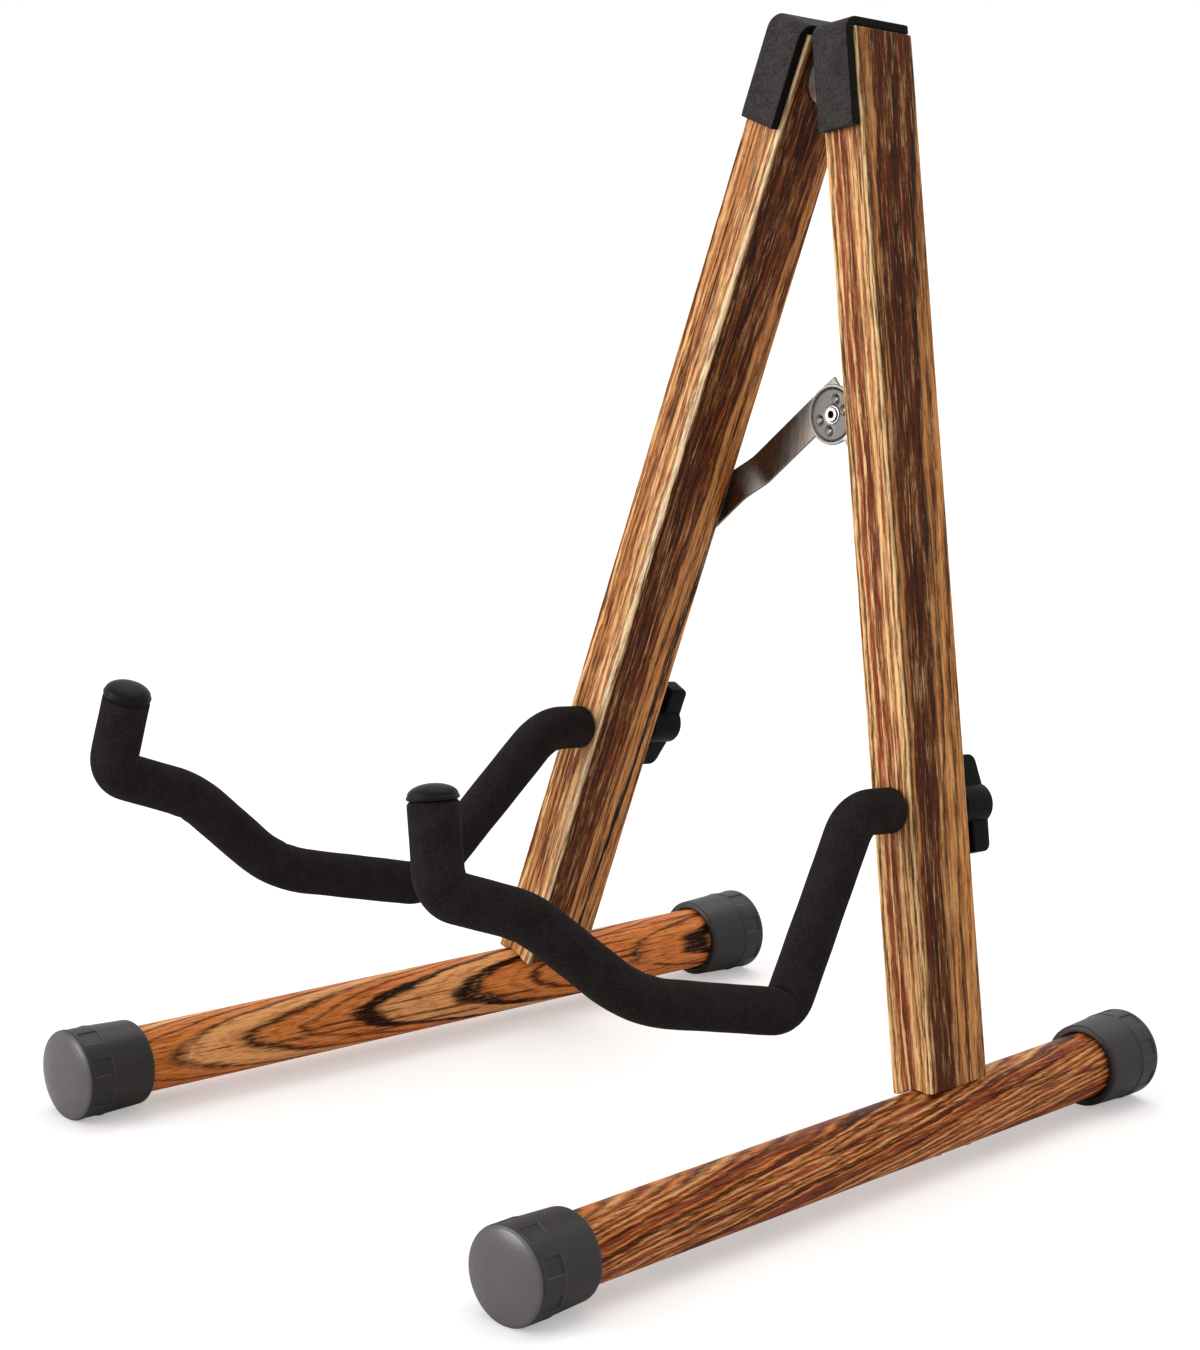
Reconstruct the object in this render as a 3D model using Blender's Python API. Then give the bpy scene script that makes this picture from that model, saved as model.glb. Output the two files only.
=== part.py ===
"""A folding wooden stand for a guitar, in metres, standing on its rails with +Z up.

Two square legs lean back and splay apart from a hinge between their tops. Each leg is bolted
onto a round rail with a rubber cap on either end. A bent steel rod in a foam sleeve reaches
forward from each leg as a cradle for the guitar's body, and a wing knob behind the leg clamps
it. A folding stay with a stamped disc joins the backs of the legs. Y runs from front to back.
"""

import math

import bmesh
import bpy
from mathutils import Matrix, Vector

# Room kept between two pieces that touch.
CLEARANCE = 0.0003

# Legs. Lengths along a leg are measured from its rail's centre line.
LEG_WIDTH = 0.0208
LEG_DEPTH = 0.03575
LEG_LENGTH = 0.4455
LEG_EDGE_ROUNDING = 0.0009
LEG_FOOT_HEIGHT = 0.0127
SPLAY_ANGLE = 0.2491
LEAN_ANGLE = 0.0929

# Rails. Ahead and behind are measured from the leg's centre line.
RAIL_RADIUS = 0.014
RAIL_AHEAD = 0.2460
RAIL_BEHIND = 0.1235
RAIL_EDGE = 0.0008
TOE_OUT_ANGLE = 0.0448

# Bolts that come up through a rail into its leg.
BOLT_SPACING = 0.020
BOLT_RADIUS = 0.003
BOLT_HEAD_RADIUS = 0.0046
BOLT_HEAD_HEIGHT = 0.0024
BOLT_RECESS_RADIUS = 0.0053
BOLT_RECESS_DEPTH = 0.003
BOLT_DEPTH_IN_LEG = 0.022
HEX_SOCKET_WIDTH = 0.0036
HEX_SOCKET_DEPTH = 0.0014

# Rubber caps. Their distances are measured from the cap's outer end.
CAP_RADIUS = 0.0188
CAP_LENGTH = 0.03395
CAP_FACE_RADIUS = 0.0178
CAP_DOME_HEIGHT = 0.002
CAP_SHOULDER_LENGTH = 0.002
CAP_FLOOR = 0.004
CAP_BAND_LENGTH = 0.010
CAP_PANEL_DEPTH = 0.0006
CAP_PANEL_COUNT = 8
CAP_LIP_RADIUS = 0.0177
CAP_LIP_LENGTH = 0.001
CAP_MOUTH_CHAMFER = 0.0007

# Pads on the leg tops.
PAD_WIDTH = 0.019
PAD_THICKNESS = 0.0045
PAD_TOP_THICKNESS = 0.0038
PAD_BEND_RADIUS = 0.007
PAD_FRONT_LENGTH = 0.041
PAD_TOP_LENGTH = 0.0352
PAD_EDGE_ROUNDING = 0.0006

# Hinge between the leg tops.
HINGE_BELOW_TOP = 0.0032
HINGE_GAP = 0.00288
LEAF_RADIUS = 0.0125
LEAF_CENTRE_BELOW_PIN = 0.0123
LEAF_THICKNESS = 0.0016
KNUCKLE_SPAN = 0.018
MIDDLE_KNUCKLE_SPAN = 0.0074
HINGE_PIN_RADIUS = 0.0012
HINGE_SCREW_RADIUS = 0.0012
HINGE_SCREW_HEAD_RADIUS = 0.0024
HINGE_SCREW_LENGTH = 0.012
HINGE_SCREW_CIRCLE = 0.0072
HINGE_SCREW_COUNT = 3
FOLD_ANGLE = math.radians(25.5)

# Folding stay between the backs of the legs.
STAY_SCREW_ALONG_LEG = 0.2255
STAY_DISC_HEIGHT = 0.2738
STAY_WIDTH = 0.0142
STAY_THICKNESS = 0.0015
STAY_DISC_RADIUS = 0.013
STAY_HIDDEN_DISC_RADIUS = 0.0123
STAY_OFFSET = 0.0064
STAY_TIP_LENGTH = 0.009
STAY_FRONT_STEP = 0.0028
STAY_STEP_START = 0.0245
STAY_STEP_LENGTH = 0.0155
STAY_RIM_WIDTH = 0.0018
STAY_RIM_HEIGHT = 0.0004
STAY_DIMPLE_CIRCLE = 0.007
STAY_DIMPLE_RADIUS = 0.0016
STAY_DIMPLE_DEPTH = 0.0005
RIVET_RADIUS = 0.0022
RIVET_BORE_RADIUS = 0.0015
RIVET_HEAD_RADIUS = 0.0031
RIVET_HEAD_HEIGHT = 0.0006
RIVET_WASHER_RADIUS = 0.0098
RIVET_WASHER_THICKNESS = 0.0012
STAY_SCREW_RADIUS = 0.002
STAY_SCREW_HEAD_RADIUS = 0.0045
STAY_SCREW_HEAD_HEIGHT = 0.0022
STAY_SCREW_LENGTH = 0.012

# Cradle arms. A bend is (forward of the leg's middle, height over the rod's hole, bend radius).
ARM_HEIGHT_ALONG_LEG = 0.126
ROD_RADIUS = 0.004
ROD_BEHIND = 0.033
ROD_COLLAR_RADIUS = 0.007
ROD_COLLAR_LENGTH = 0.003
FOAM_RADIUS = 0.0094
ARM_BENDS = (
    (0.0409, 0.0, 0.018),
    (0.0868, -0.0744, 0.0115),
    (0.1709, -0.0611, 0.028),
    (0.2246, -0.0247, 0.026),
    (0.2673, -0.0127, 0.0115),
)
ARM_END_FORWARD = 0.2690
ARM_END_HEIGHT = 0.0200
ARM_TOE_ANGLE = 0.018
RIGHT_ARM_DROOP = 0.0133
LEFT_ARM_DROOP = -0.0016
RIGHT_ARM_SWING = 0.0559
LEFT_ARM_SWING = -0.0136
TIP_RADIUS = 0.0097
TIP_LIP_LENGTH = 0.0012
TIP_DOME_HEIGHT = 0.0046
ROD_IN_TIP = 0.0026

# Wing knobs behind the legs.
KNOB_WASHER_RADIUS = 0.008
KNOB_WASHER_THICKNESS = 0.0015
KNOB_HUB_RADIUS = 0.0088
KNOB_DOME_HEIGHT = 0.0012
KNOB_CROWN_DEPTH = 0.0383
KNOB_WING_SPAN = 0.041
KNOB_WING_THICKNESS = 0.008
KNOB_WING_START_DEPTH = 0.0255
KNOB_WING_END_DEPTH = 0.0365
KNOB_WING_SWEEP = 0.0018
KNOB_WING_CORNER = 0.004
KNOB_EDGE_ROUNDING = 0.0007
INSERT_RADIUS = 0.006
INSERT_LENGTH = 0.0105
RIGHT_KNOB_TURN = math.radians(7)
LEFT_KNOB_TURN = math.radians(9)

# How finely round shapes are cut.
ROUND_SIDES = 28
FOAM_SIDES = 14
ROD_SIDES = 8
SMALL_SIDES = 12
ARC_STEP = math.radians(13)

# Colour, roughness and metallic value of each finish.
FINISHES = {
    "striped wood": ((0.42, 0.19, 0.07), 0.45, 0.0),
    "cap rubber": ((0.030, 0.028, 0.027), 0.55, 0.0),
    "pad rubber": ((0.040, 0.038, 0.038), 0.70, 0.0),
    "foam": ((0.012, 0.011, 0.010), 0.85, 0.0),
    "moulded plastic": ((0.015, 0.015, 0.015), 0.40, 0.0),
    "steel": ((0.42, 0.39, 0.36), 0.32, 1.0),
    "brass": ((0.70, 0.50, 0.22), 0.30, 1.0),
}

# Sizes that follow from the ones above.
HINGE_HEIGHT = (
    LEG_LENGTH * math.cos(SPLAY_ANGLE) - LEG_WIDTH / 2 * math.sin(SPLAY_ANGLE) - HINGE_BELOW_TOP
)
HALF_TRACK = (
    HINGE_GAP + LEG_WIDTH / 2 + HINGE_HEIGHT * math.sin(SPLAY_ANGLE)
) / math.cos(SPLAY_ANGLE)
HINGE_ALONG_LEG = HALF_TRACK * math.sin(SPLAY_ANGLE) + HINGE_HEIGHT * math.cos(SPLAY_ANGLE)
LEG_FRONT = -LEG_DEPTH / 2
LEG_BACK = LEG_DEPTH / 2
STAY_NEAR_DEPTH = LEG_BACK + CLEARANCE
STAY_FRONT_DEPTH = STAY_NEAR_DEPTH + STAY_FRONT_STEP
STAY_REAR_DEPTH = STAY_FRONT_DEPTH + STAY_THICKNESS + CLEARANCE
STAY_SCREW_X = HALF_TRACK - STAY_SCREW_ALONG_LEG * math.sin(SPLAY_ANGLE)
STAY_SCREW_Z = STAY_SCREW_ALONG_LEG * math.cos(SPLAY_ANGLE)
STAY_REACH = math.hypot(STAY_SCREW_X, STAY_DISC_HEIGHT - STAY_SCREW_Z)
KNOB_WASHER_DEPTH = LEG_BACK + CLEARANCE
KNOB_FRONT_DEPTH = KNOB_WASHER_DEPTH + KNOB_WASHER_THICKNESS + CLEARANCE
SIDES = ((1, "right"), (-1, "left"))


# Shapes


def loft(bm, rings, closed=False):
    """Joins each ring of points to the next one. A ring of one point is a tip."""
    rows = [[bm.verts.new(point) for point in ring] for ring in rings]
    pairs = list(zip(rows, rows[1:]))
    if closed:
        pairs.append((rows[-1], rows[0]))
    for near, far in pairs:
        count = max(len(near), len(far))
        for i in range(count):
            j = (i + 1) % count
            corners = (near[i % len(near)], near[j % len(near)], far[j % len(far)], far[i % len(far)])
            bm.faces.new(list(dict.fromkeys(corners)))
    if closed:
        return
    for row in (rows[0], rows[-1]):
        if len(row) > 2:
            bm.faces.new(row)


def turned(bm, profile, sides, closed=False):
    """Turns a profile of (radius, distance along Y) about the Y axis."""
    rings = []
    for radius, along in profile:
        angles = [math.tau * i / sides for i in range(sides)] if radius else [0.0]
        rings.append([(radius * math.cos(a), along, radius * math.sin(a)) for a in angles])
    loft(bm, rings, closed)


def rounded_path(corners, radii):
    """Straight runs joined by arcs, as a list of (point, direction)."""
    first = (corners[1] - corners[0]).normalized()
    path = [(corners[0], first)]
    for before, corner, after, radius in zip(corners, corners[1:], corners[2:], radii):
        back = (before - corner).normalized()
        ahead = (after - corner).normalized()
        turn = math.pi - back.angle(ahead)
        setback = radius * math.tan(turn / 2)
        centre = corner + (back + ahead).normalized() * radius / math.cos(turn / 2)
        spoke = corner + back * setback - centre
        axis = spoke.cross(corner + ahead * setback - centre).normalized()
        steps = max(2, round(turn / ARC_STEP))
        for k in range(steps + 1):
            rotation = Matrix.Rotation(turn * k / steps, 3, axis)
            path.append((centre + rotation @ spoke, rotation @ -back))
    last = (corners[-1] - corners[-2]).normalized()
    path.append((corners[-1], last))
    return path


def ring_round(point, direction, radius, sides):
    """A circle of points about a path's point, square to the path."""
    across = (Vector((1, 0, 0)) - direction * direction.x).normalized()
    upward = direction.cross(across)
    angles = [math.tau * (i + 0.5) / sides for i in range(sides)]
    return [point + across * radius * math.cos(a) + upward * radius * math.sin(a) for a in angles]


def prism(bm, outline, start, end, axis):
    """A straight extrusion of an outline in the plane square to an axis, 0 for X, 1 for Y, 2 for Z."""
    rings = []
    for height in (start, end):
        ring = []
        for a, b in outline:
            point = [a, b]
            point.insert(axis, height)
            ring.append(point)
        rings.append(ring)
    loft(bm, rings)


def rod(bm, start, end, radius, end_radius=None, sides=SMALL_SIDES):
    """A round bar or cone between two points."""
    start = Vector(start)
    end = Vector(end)
    along = end - start
    place = Matrix.Translation((start + end) / 2) @ along.to_track_quat("Z", "Y").to_matrix().to_4x4()
    bmesh.ops.create_cone(
        bm,
        cap_ends=True,
        segments=sides,
        radius1=radius,
        radius2=radius if end_radius is None else end_radius,
        depth=along.length,
        matrix=place,
    )


def arc(centre, radius, start, end, steps):
    """Points along an arc in a plane, both ends included. Angles are in radians."""
    angles = [start + (end - start) * i / steps for i in range(steps + 1)]
    return [(centre[0] + radius * math.cos(a), centre[1] + radius * math.sin(a)) for a in angles]


# Objects


def finish(name, kind):
    """A piece's own material."""
    colour, roughness, metallic = FINISHES[kind]
    material = bpy.data.materials.new(name + " " + kind)
    material.use_nodes = True
    shader = material.node_tree.nodes["Principled BSDF"]
    shader.inputs["Base Color"].default_value = (*colour, 1)
    shader.inputs["Roughness"].default_value = roughness
    shader.inputs["Metallic"].default_value = metallic
    material.diffuse_color = (*colour, 1)
    return material


def empty(name, parent=None, place=Matrix()):
    holder = bpy.data.objects.new(name, None)
    holder.empty_display_size = 0.02
    bpy.context.scene.collection.objects.link(holder)
    holder.parent = parent
    holder.matrix_basis = place
    return holder


def piece(name, bm, kind, parent, place=Matrix()):
    """Makes one named solid from a bmesh."""
    bmesh.ops.recalc_face_normals(bm, faces=bm.faces)
    mesh = bpy.data.meshes.new(name)
    bm.to_mesh(mesh)
    bm.free()
    mesh.shade_smooth()
    mesh.set_sharp_from_angle(angle=math.radians(35))
    solid = bpy.data.objects.new(name, mesh)
    bpy.context.scene.collection.objects.link(solid)
    solid.parent = parent
    solid.matrix_basis = place
    if kind:
        mesh.materials.append(finish(name, kind))
    return solid


def round_edges(solid, width, segments=2, angle=math.radians(40)):
    bevel = solid.modifiers.new("edge rounding", "BEVEL")
    bevel.width = width
    bevel.segments = segments
    bevel.limit_method = "ANGLE"
    bevel.angle_limit = angle


def combine(solid, bm, operation, label):
    """Cuts a shape from a solid, or joins it on, with a helper in the same place."""
    helper = piece(solid.name + " " + label, bm, None, solid.parent, solid.matrix_basis)
    helper.hide_render = True
    helper.display_type = "WIRE"
    boolean = solid.modifiers.new(label, "BOOLEAN")
    boolean.operation = operation
    boolean.object = helper
    boolean.solver = "EXACT"


# Frames that the pieces are placed in


for old in list(bpy.data.objects):
    bpy.data.objects.remove(old, do_unlink=True)

stand = empty("stand")
leaning_plane = empty("leaning_plane", stand, Matrix.Rotation(-LEAN_ANGLE, 4, "X"))
halves = {}
leg_lines = {}
rail_lines = {}
for side, name in SIDES:
    label = name + ("_half" if side > 0 else "_half_fold_joint")
    halves[side] = empty(label, leaning_plane, Matrix.Translation((0, 0, HINGE_HEIGHT)))
    foot = Matrix.Translation((side * HALF_TRACK, 0, -HINGE_HEIGHT))
    leg_place = foot @ Matrix.Rotation(-side * SPLAY_ANGLE, 4, "Y")
    leg_lines[side] = empty(name + "_leg_line", halves[side], leg_place)
    level = Matrix.Rotation(LEAN_ANGLE, 4, "X")
    rail_place = foot @ level @ Matrix.Rotation(side * TOE_OUT_ANGLE, 4, "Z")
    rail_lines[side] = empty(name + "_rail_line", halves[side], rail_place)


def rail_in_leg(side):
    """The direction of a rail's centre line, front to back, in its leg's own frame."""
    lean = Matrix.Rotation(-LEAN_ANGLE, 3, "X")
    leg = lean @ Matrix.Rotation(-side * SPLAY_ANGLE, 3, "Y")
    rail = Matrix.Rotation(side * TOE_OUT_ANGLE, 3, "Z")
    return leg.transposed() @ rail @ Vector((0, 1, 0))


def bolt_line_in_rail(side):
    """The bolts' upward direction in the rail's own frame, square to the rail."""
    lean = Matrix.Rotation(-LEAN_ANGLE, 3, "X")
    leg = lean @ Matrix.Rotation(-side * SPLAY_ANGLE, 3, "Y")
    rail = Matrix.Rotation(side * TOE_OUT_ANGLE, 3, "Z")
    up = rail.transposed() @ leg @ Vector((0, 0, 1))
    return Vector((up.x, 0, up.z)).normalized()


# Legs


def make_leg(side, name):
    """A square-sawn board whose foot is cut along its rail, hollowed to sit on it."""
    along_rail = rail_in_leg(side)
    slope = along_rail.z / along_rail.y
    foot_height = LEG_FOOT_HEIGHT * math.hypot(1, slope)
    bm = bmesh.new()
    corners = ((-1, -1), (1, -1), (1, 1), (-1, 1))
    foot = []
    top = []
    for a, b in corners:
        x = a * LEG_WIDTH / 2
        y = b * LEG_DEPTH / 2
        foot.append((x, y, foot_height + slope * y))
        top.append((x, y, LEG_LENGTH))
    loft(bm, [foot, top])
    leg = piece(name + "_leg", bm, "striped wood", leg_lines[side])
    round_edges(leg, LEG_EDGE_ROUNDING, 1)

    saddle = bmesh.new()
    reach = along_rail * LEG_DEPTH
    rod(saddle, -reach, reach, RAIL_RADIUS + CLEARANCE, sides=36)
    combine(leg, saddle, "DIFFERENCE", "rail saddle")

    holes = bmesh.new()
    bolt = Vector((0, 0, 1)) - along_rail * along_rail.z
    bolt.normalize()
    for end in (-1, 1):
        start = along_rail * end * BOLT_SPACING / 2
        tip = start + bolt * (LEG_FOOT_HEIGHT + BOLT_DEPTH_IN_LEG + CLEARANCE)
        rod(holes, start, tip, BOLT_RADIUS + CLEARANCE)
    bore = ROD_RADIUS + CLEARANCE
    past = LEG_DEPTH / 2 + 0.002
    level = ARM_HEIGHT_ALONG_LEG
    rod(holes, (0, -past, level), (0, past, level), bore, sides=16)
    screw_hole = STAY_SCREW_RADIUS + CLEARANCE
    level = STAY_SCREW_ALONG_LEG
    bottom = LEG_BACK - STAY_SCREW_LENGTH - CLEARANCE
    rod(holes, (0, bottom, level), (0, past, level), screw_hole)
    for y, z in hinge_screw_places():
        start = (-side * (LEG_WIDTH / 2 + 0.002), y, z)
        end = (-side * (LEG_WIDTH / 2 - HINGE_SCREW_LENGTH - CLEARANCE), y, z)
        rod(holes, start, end, HINGE_SCREW_RADIUS + CLEARANCE)
    combine(leg, holes, "DIFFERENCE", "drilled holes")


def hinge_screw_places():
    """(depth, distance along the leg) of the screws of one hinge leaf."""
    centre = (0, HINGE_ALONG_LEG - LEAF_CENTRE_BELOW_PIN)
    step = math.tau / HINGE_SCREW_COUNT
    return arc(
        centre,
        HINGE_SCREW_CIRCLE,
        -math.pi / 2,
        -math.pi / 2 + step * (HINGE_SCREW_COUNT - 1),
        HINGE_SCREW_COUNT - 1,
    )


def make_top_pad(side, name):
    """A strip of rubber wrapped over the leg's top and down its front."""
    front = LEG_FRONT - CLEARANCE
    top = LEG_LENGTH + CLEARANCE
    back = front + PAD_TOP_LENGTH
    bottom = LEG_LENGTH - PAD_FRONT_LENGTH
    centre = (front - PAD_THICKNESS + PAD_BEND_RADIUS, top + PAD_TOP_THICKNESS - PAD_BEND_RADIUS)
    bend = arc(centre, PAD_BEND_RADIUS, math.pi / 2, math.pi, 7)
    outline = [(back, top), (back, top + PAD_TOP_THICKNESS), *bend]
    outline += [(front - PAD_THICKNESS, bottom), (front, bottom), (front, top)]
    bm = bmesh.new()
    prism(bm, outline, -PAD_WIDTH / 2, PAD_WIDTH / 2, 0)
    pad = piece(name + "_top_pad", bm, "pad rubber", leg_lines[side])
    round_edges(pad, PAD_EDGE_ROUNDING, 1)


# Rails, bolts and caps


def make_rail(side, name):
    """A round bar with a recess and a hole for each bolt."""
    bm = bmesh.new()
    inner = RAIL_RADIUS - RAIL_EDGE
    profile = [
        (inner, -RAIL_AHEAD),
        (RAIL_RADIUS, -RAIL_AHEAD + RAIL_EDGE),
        (RAIL_RADIUS, RAIL_BEHIND - RAIL_EDGE),
        (inner, RAIL_BEHIND),
    ]
    turned(bm, profile, ROUND_SIDES)
    rail = piece(name + "_rail", bm, "striped wood", rail_lines[side])
    up = bolt_line_in_rail(side)
    holes = bmesh.new()
    recesses = bmesh.new()
    for end in (-1, 1):
        middle = Vector((0, end * BOLT_SPACING / 2, 0))
        below = middle - up * (RAIL_RADIUS + 0.002)
        above = middle + up * (RAIL_RADIUS + 0.002)
        floor = middle - up * (RAIL_RADIUS - BOLT_RECESS_DEPTH)
        rod(holes, below, above, BOLT_RADIUS + CLEARANCE)
        rod(recesses, below, floor, BOLT_RECESS_RADIUS, sides=20)
    combine(rail, recesses, "DIFFERENCE", "bolt recesses")
    combine(rail, holes, "DIFFERENCE", "bolt holes")


def make_bolt(side, name, end):
    """A flat-headed bolt with a hexagonal socket, pointing up into the leg."""
    seat = RAIL_RADIUS - BOLT_RECESS_DEPTH + CLEARANCE
    length = seat + LEG_FOOT_HEIGHT + BOLT_DEPTH_IN_LEG
    edge = 0.0004
    profile = [
        (BOLT_HEAD_RADIUS - edge, -BOLT_HEAD_HEIGHT),
        (BOLT_HEAD_RADIUS, -BOLT_HEAD_HEIGHT + edge),
        (BOLT_HEAD_RADIUS, 0),
        (BOLT_RADIUS, 0),
        (BOLT_RADIUS, length - BOLT_RADIUS / 2),
        (BOLT_RADIUS / 2, length),
    ]
    bm = bmesh.new()
    turned(bm, profile, SMALL_SIDES)
    up = bolt_line_in_rail(side)
    middle = Vector((0, end * BOLT_SPACING / 2, 0))
    turn = Vector((0, 1, 0)).rotation_difference(up).to_matrix().to_4x4()
    place = Matrix.Translation(middle - up * seat) @ turn
    label = "_front_rail_bolt" if end < 0 else "_rear_rail_bolt"
    bolt = piece(name + label, bm, "steel", rail_lines[side], place)
    socket = bmesh.new()
    start = (0, -BOLT_HEAD_HEIGHT - 0.001, 0)
    floor = (0, -BOLT_HEAD_HEIGHT + HEX_SOCKET_DEPTH, 0)
    rod(socket, start, floor, HEX_SOCKET_WIDTH / 2, sides=6)
    combine(bolt, socket, "DIFFERENCE", "hexagonal socket")


def cap_profile():
    """(distance from the outer end, radius, radius in a panel) down a cap's outer side."""
    side_start = CAP_DOME_HEIGHT + CAP_SHOULDER_LENGTH
    round_off = CAP_RADIUS - CAP_FACE_RADIUS
    rows = [(0.0, 0.0, 0.0)]
    for share in (0.45, 0.76, 1.0):
        rows.append((CAP_DOME_HEIGHT * share**2, CAP_FACE_RADIUS * share, CAP_FACE_RADIUS * share))
    band = side_start + CAP_BAND_LENGTH
    panel = CAP_RADIUS - CAP_PANEL_DEPTH
    wall = CAP_PANEL_DEPTH / 2
    shoulder = CAP_RADIUS - round_off * 0.3
    rows += [
        (side_start - CAP_SHOULDER_LENGTH * 0.7, shoulder, shoulder),
        (side_start, CAP_RADIUS, CAP_RADIUS),
        (side_start + wall, CAP_RADIUS, panel),
        (band - wall, CAP_RADIUS, panel),
        (band, CAP_RADIUS, CAP_RADIUS),
        (band + wall, CAP_RADIUS - wall, CAP_RADIUS - wall),
        (CAP_LENGTH - CAP_LIP_LENGTH, CAP_LIP_RADIUS, CAP_LIP_RADIUS),
        (CAP_LENGTH, CAP_LIP_RADIUS - CAP_LIP_LENGTH / 2, CAP_LIP_RADIUS - CAP_LIP_LENGTH / 2),
    ]
    return rows


def make_cap(side, name, end):
    """A moulded cup with a shallow dome, a band of sunk panels and a bore for the rail's end.

    The panels lie between flat lands, and one land faces straight down, so the cap rests on it.
    """
    pitch = math.tau / CAP_PANEL_COUNT
    edge = CAP_PANEL_DEPTH / CAP_RADIUS
    columns = []
    for i in range(CAP_PANEL_COUNT):
        middle = -math.pi / 2 + i * pitch
        columns.append((middle - pitch / 4, False))
        columns.append((middle + pitch / 4, False))
        columns.append((middle + pitch / 4 + edge, True))
        columns.append((middle + 3 * pitch / 4 - edge, True))
    floor = CAP_FLOOR + CAP_DOME_HEIGHT + CAP_SHOULDER_LENGTH
    outer_end = -RAIL_AHEAD - floor if end < 0 else RAIL_BEHIND + floor

    def ring(distance, land, panel):
        y = outer_end - end * distance
        if not land:
            return [(0, y, 0)]
        sizes = [(a, panel if sunk else land) for a, sunk in columns]
        return [(r * math.cos(a), y, r * math.sin(a)) for a, r in sizes]

    bore = RAIL_RADIUS + CLEARANCE
    rings = [ring(*row) for row in cap_profile()]
    rings.append(ring(CAP_LENGTH, bore + CAP_MOUTH_CHAMFER, bore + CAP_MOUTH_CHAMFER))
    rings.append(ring(CAP_LENGTH - 2 * CAP_MOUTH_CHAMFER, bore, bore))
    rings.append(ring(floor - CLEARANCE, bore, bore))
    rings.append(ring(floor - CLEARANCE, 0, 0))
    bm = bmesh.new()
    loft(bm, rings)
    label = "_front_cap" if end < 0 else "_rear_cap"
    piece(name + label, bm, "cap rubber", rail_lines[side])


# Hinge


def knuckle_spans(side):
    """(start, end) along the pin of one leaf's knuckles: two outer ones, or the one between."""
    if side > 0:
        inner = MIDDLE_KNUCKLE_SPAN / 2 + CLEARANCE
        return ((-KNUCKLE_SPAN / 2, -inner), (inner, KNUCKLE_SPAN / 2))
    return ((-MIDDLE_KNUCKLE_SPAN / 2, MIDDLE_KNUCKLE_SPAN / 2),)


def make_hinge_leaf(side, name):
    """A round leaf screwed to the leg's inner face, with its neck rolled round the pin."""
    near = LEG_WIDTH / 2 + CLEARANCE
    far = near + LEAF_THICKNESS
    pin = LEG_WIDTH / 2 + HINGE_GAP
    knuckle = HINGE_GAP - CLEARANCE
    centre = (0, HINGE_ALONG_LEG - LEAF_CENTRE_BELOW_PIN)
    chord = LEAF_CENTRE_BELOW_PIN - knuckle - CLEARANCE
    half = math.acos(chord / LEAF_RADIUS)
    outline = arc(centre, LEAF_RADIUS, math.pi / 2 + half, math.tau + math.pi / 2 - half, 28)
    bm = bmesh.new()
    prism(bm, outline, -side * near, -side * far, 0)
    leaf = piece(name + "_hinge_leaf", bm, "steel", leg_lines[side])

    roll_start = math.acos((pin - far) / knuckle)
    roll = arc((pin, HINGE_ALONG_LEG), knuckle, math.pi, -math.pi + roll_start, 10)
    neck_bottom = HINGE_ALONG_LEG - LEAF_CENTRE_BELOW_PIN + LEAF_RADIUS * 0.4
    tuck = LEAF_THICKNESS / 32
    neck = [(near + tuck, neck_bottom), *roll, (far - tuck, neck_bottom)]
    necks = bmesh.new()
    for start, end in knuckle_spans(side):
        prism(necks, [(-side * x, z) for x, z in neck], start, end, 1)
    combine(leaf, necks, "UNION", "rolled knuckles")

    holes = bmesh.new()
    past = KNUCKLE_SPAN / 2 + 0.002
    bore = HINGE_PIN_RADIUS + CLEARANCE
    x = -side * pin
    rod(holes, (x, -past, HINGE_ALONG_LEG), (x, past, HINGE_ALONG_LEG), bore)
    shank = HINGE_SCREW_RADIUS + CLEARANCE
    for y, z in hinge_screw_places():
        rod(holes, (-side * (near - past), y, z), (-side * (far + past), y, z), shank)
    combine(leaf, holes, "DIFFERENCE", "pin and screw holes")
    sinks = bmesh.new()
    mouth = HINGE_SCREW_HEAD_RADIUS + CLEARANCE * math.sqrt(2)
    narrow = shank * 0.8
    above = 0.0005
    for y, z in hinge_screw_places():
        start = (-side * (far - mouth + narrow), y, z)
        rod(sinks, start, (-side * (far + above), y, z), narrow, mouth + above)
    combine(leaf, sinks, "DIFFERENCE", "countersinks")


def make_hinge_screw(side, name, index, y, z):
    """A countersunk screw, flush with the leaf."""
    near = LEG_WIDTH / 2 + CLEARANCE
    face = near + LEAF_THICKNESS
    sink = HINGE_SCREW_HEAD_RADIUS - HINGE_SCREW_RADIUS
    end = LEG_WIDTH / 2 - HINGE_SCREW_LENGTH
    profile = [
        (HINGE_SCREW_HEAD_RADIUS, 0),
        (HINGE_SCREW_RADIUS, sink),
        (HINGE_SCREW_RADIUS, face - end - HINGE_SCREW_RADIUS),
        (0, face - end),
    ]
    bm = bmesh.new()
    turned(bm, profile, SMALL_SIDES)
    turn = Vector((0, 1, 0)).rotation_difference(Vector((side, 0, 0))).to_matrix().to_4x4()
    place = Matrix.Translation((-side * face, y, z)) @ turn
    piece(f"{name}_hinge_screw_{index}", bm, "steel", leg_lines[side], place)


def make_hinge_pin():
    bm = bmesh.new()
    turned(
        bm,
        [(HINGE_PIN_RADIUS, -KNUCKLE_SPAN / 2), (HINGE_PIN_RADIUS, KNUCKLE_SPAN / 2)],
        SMALL_SIDES,
    )
    piece("hinge_pin", bm, "steel", halves[1])


# Folding stay


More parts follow.
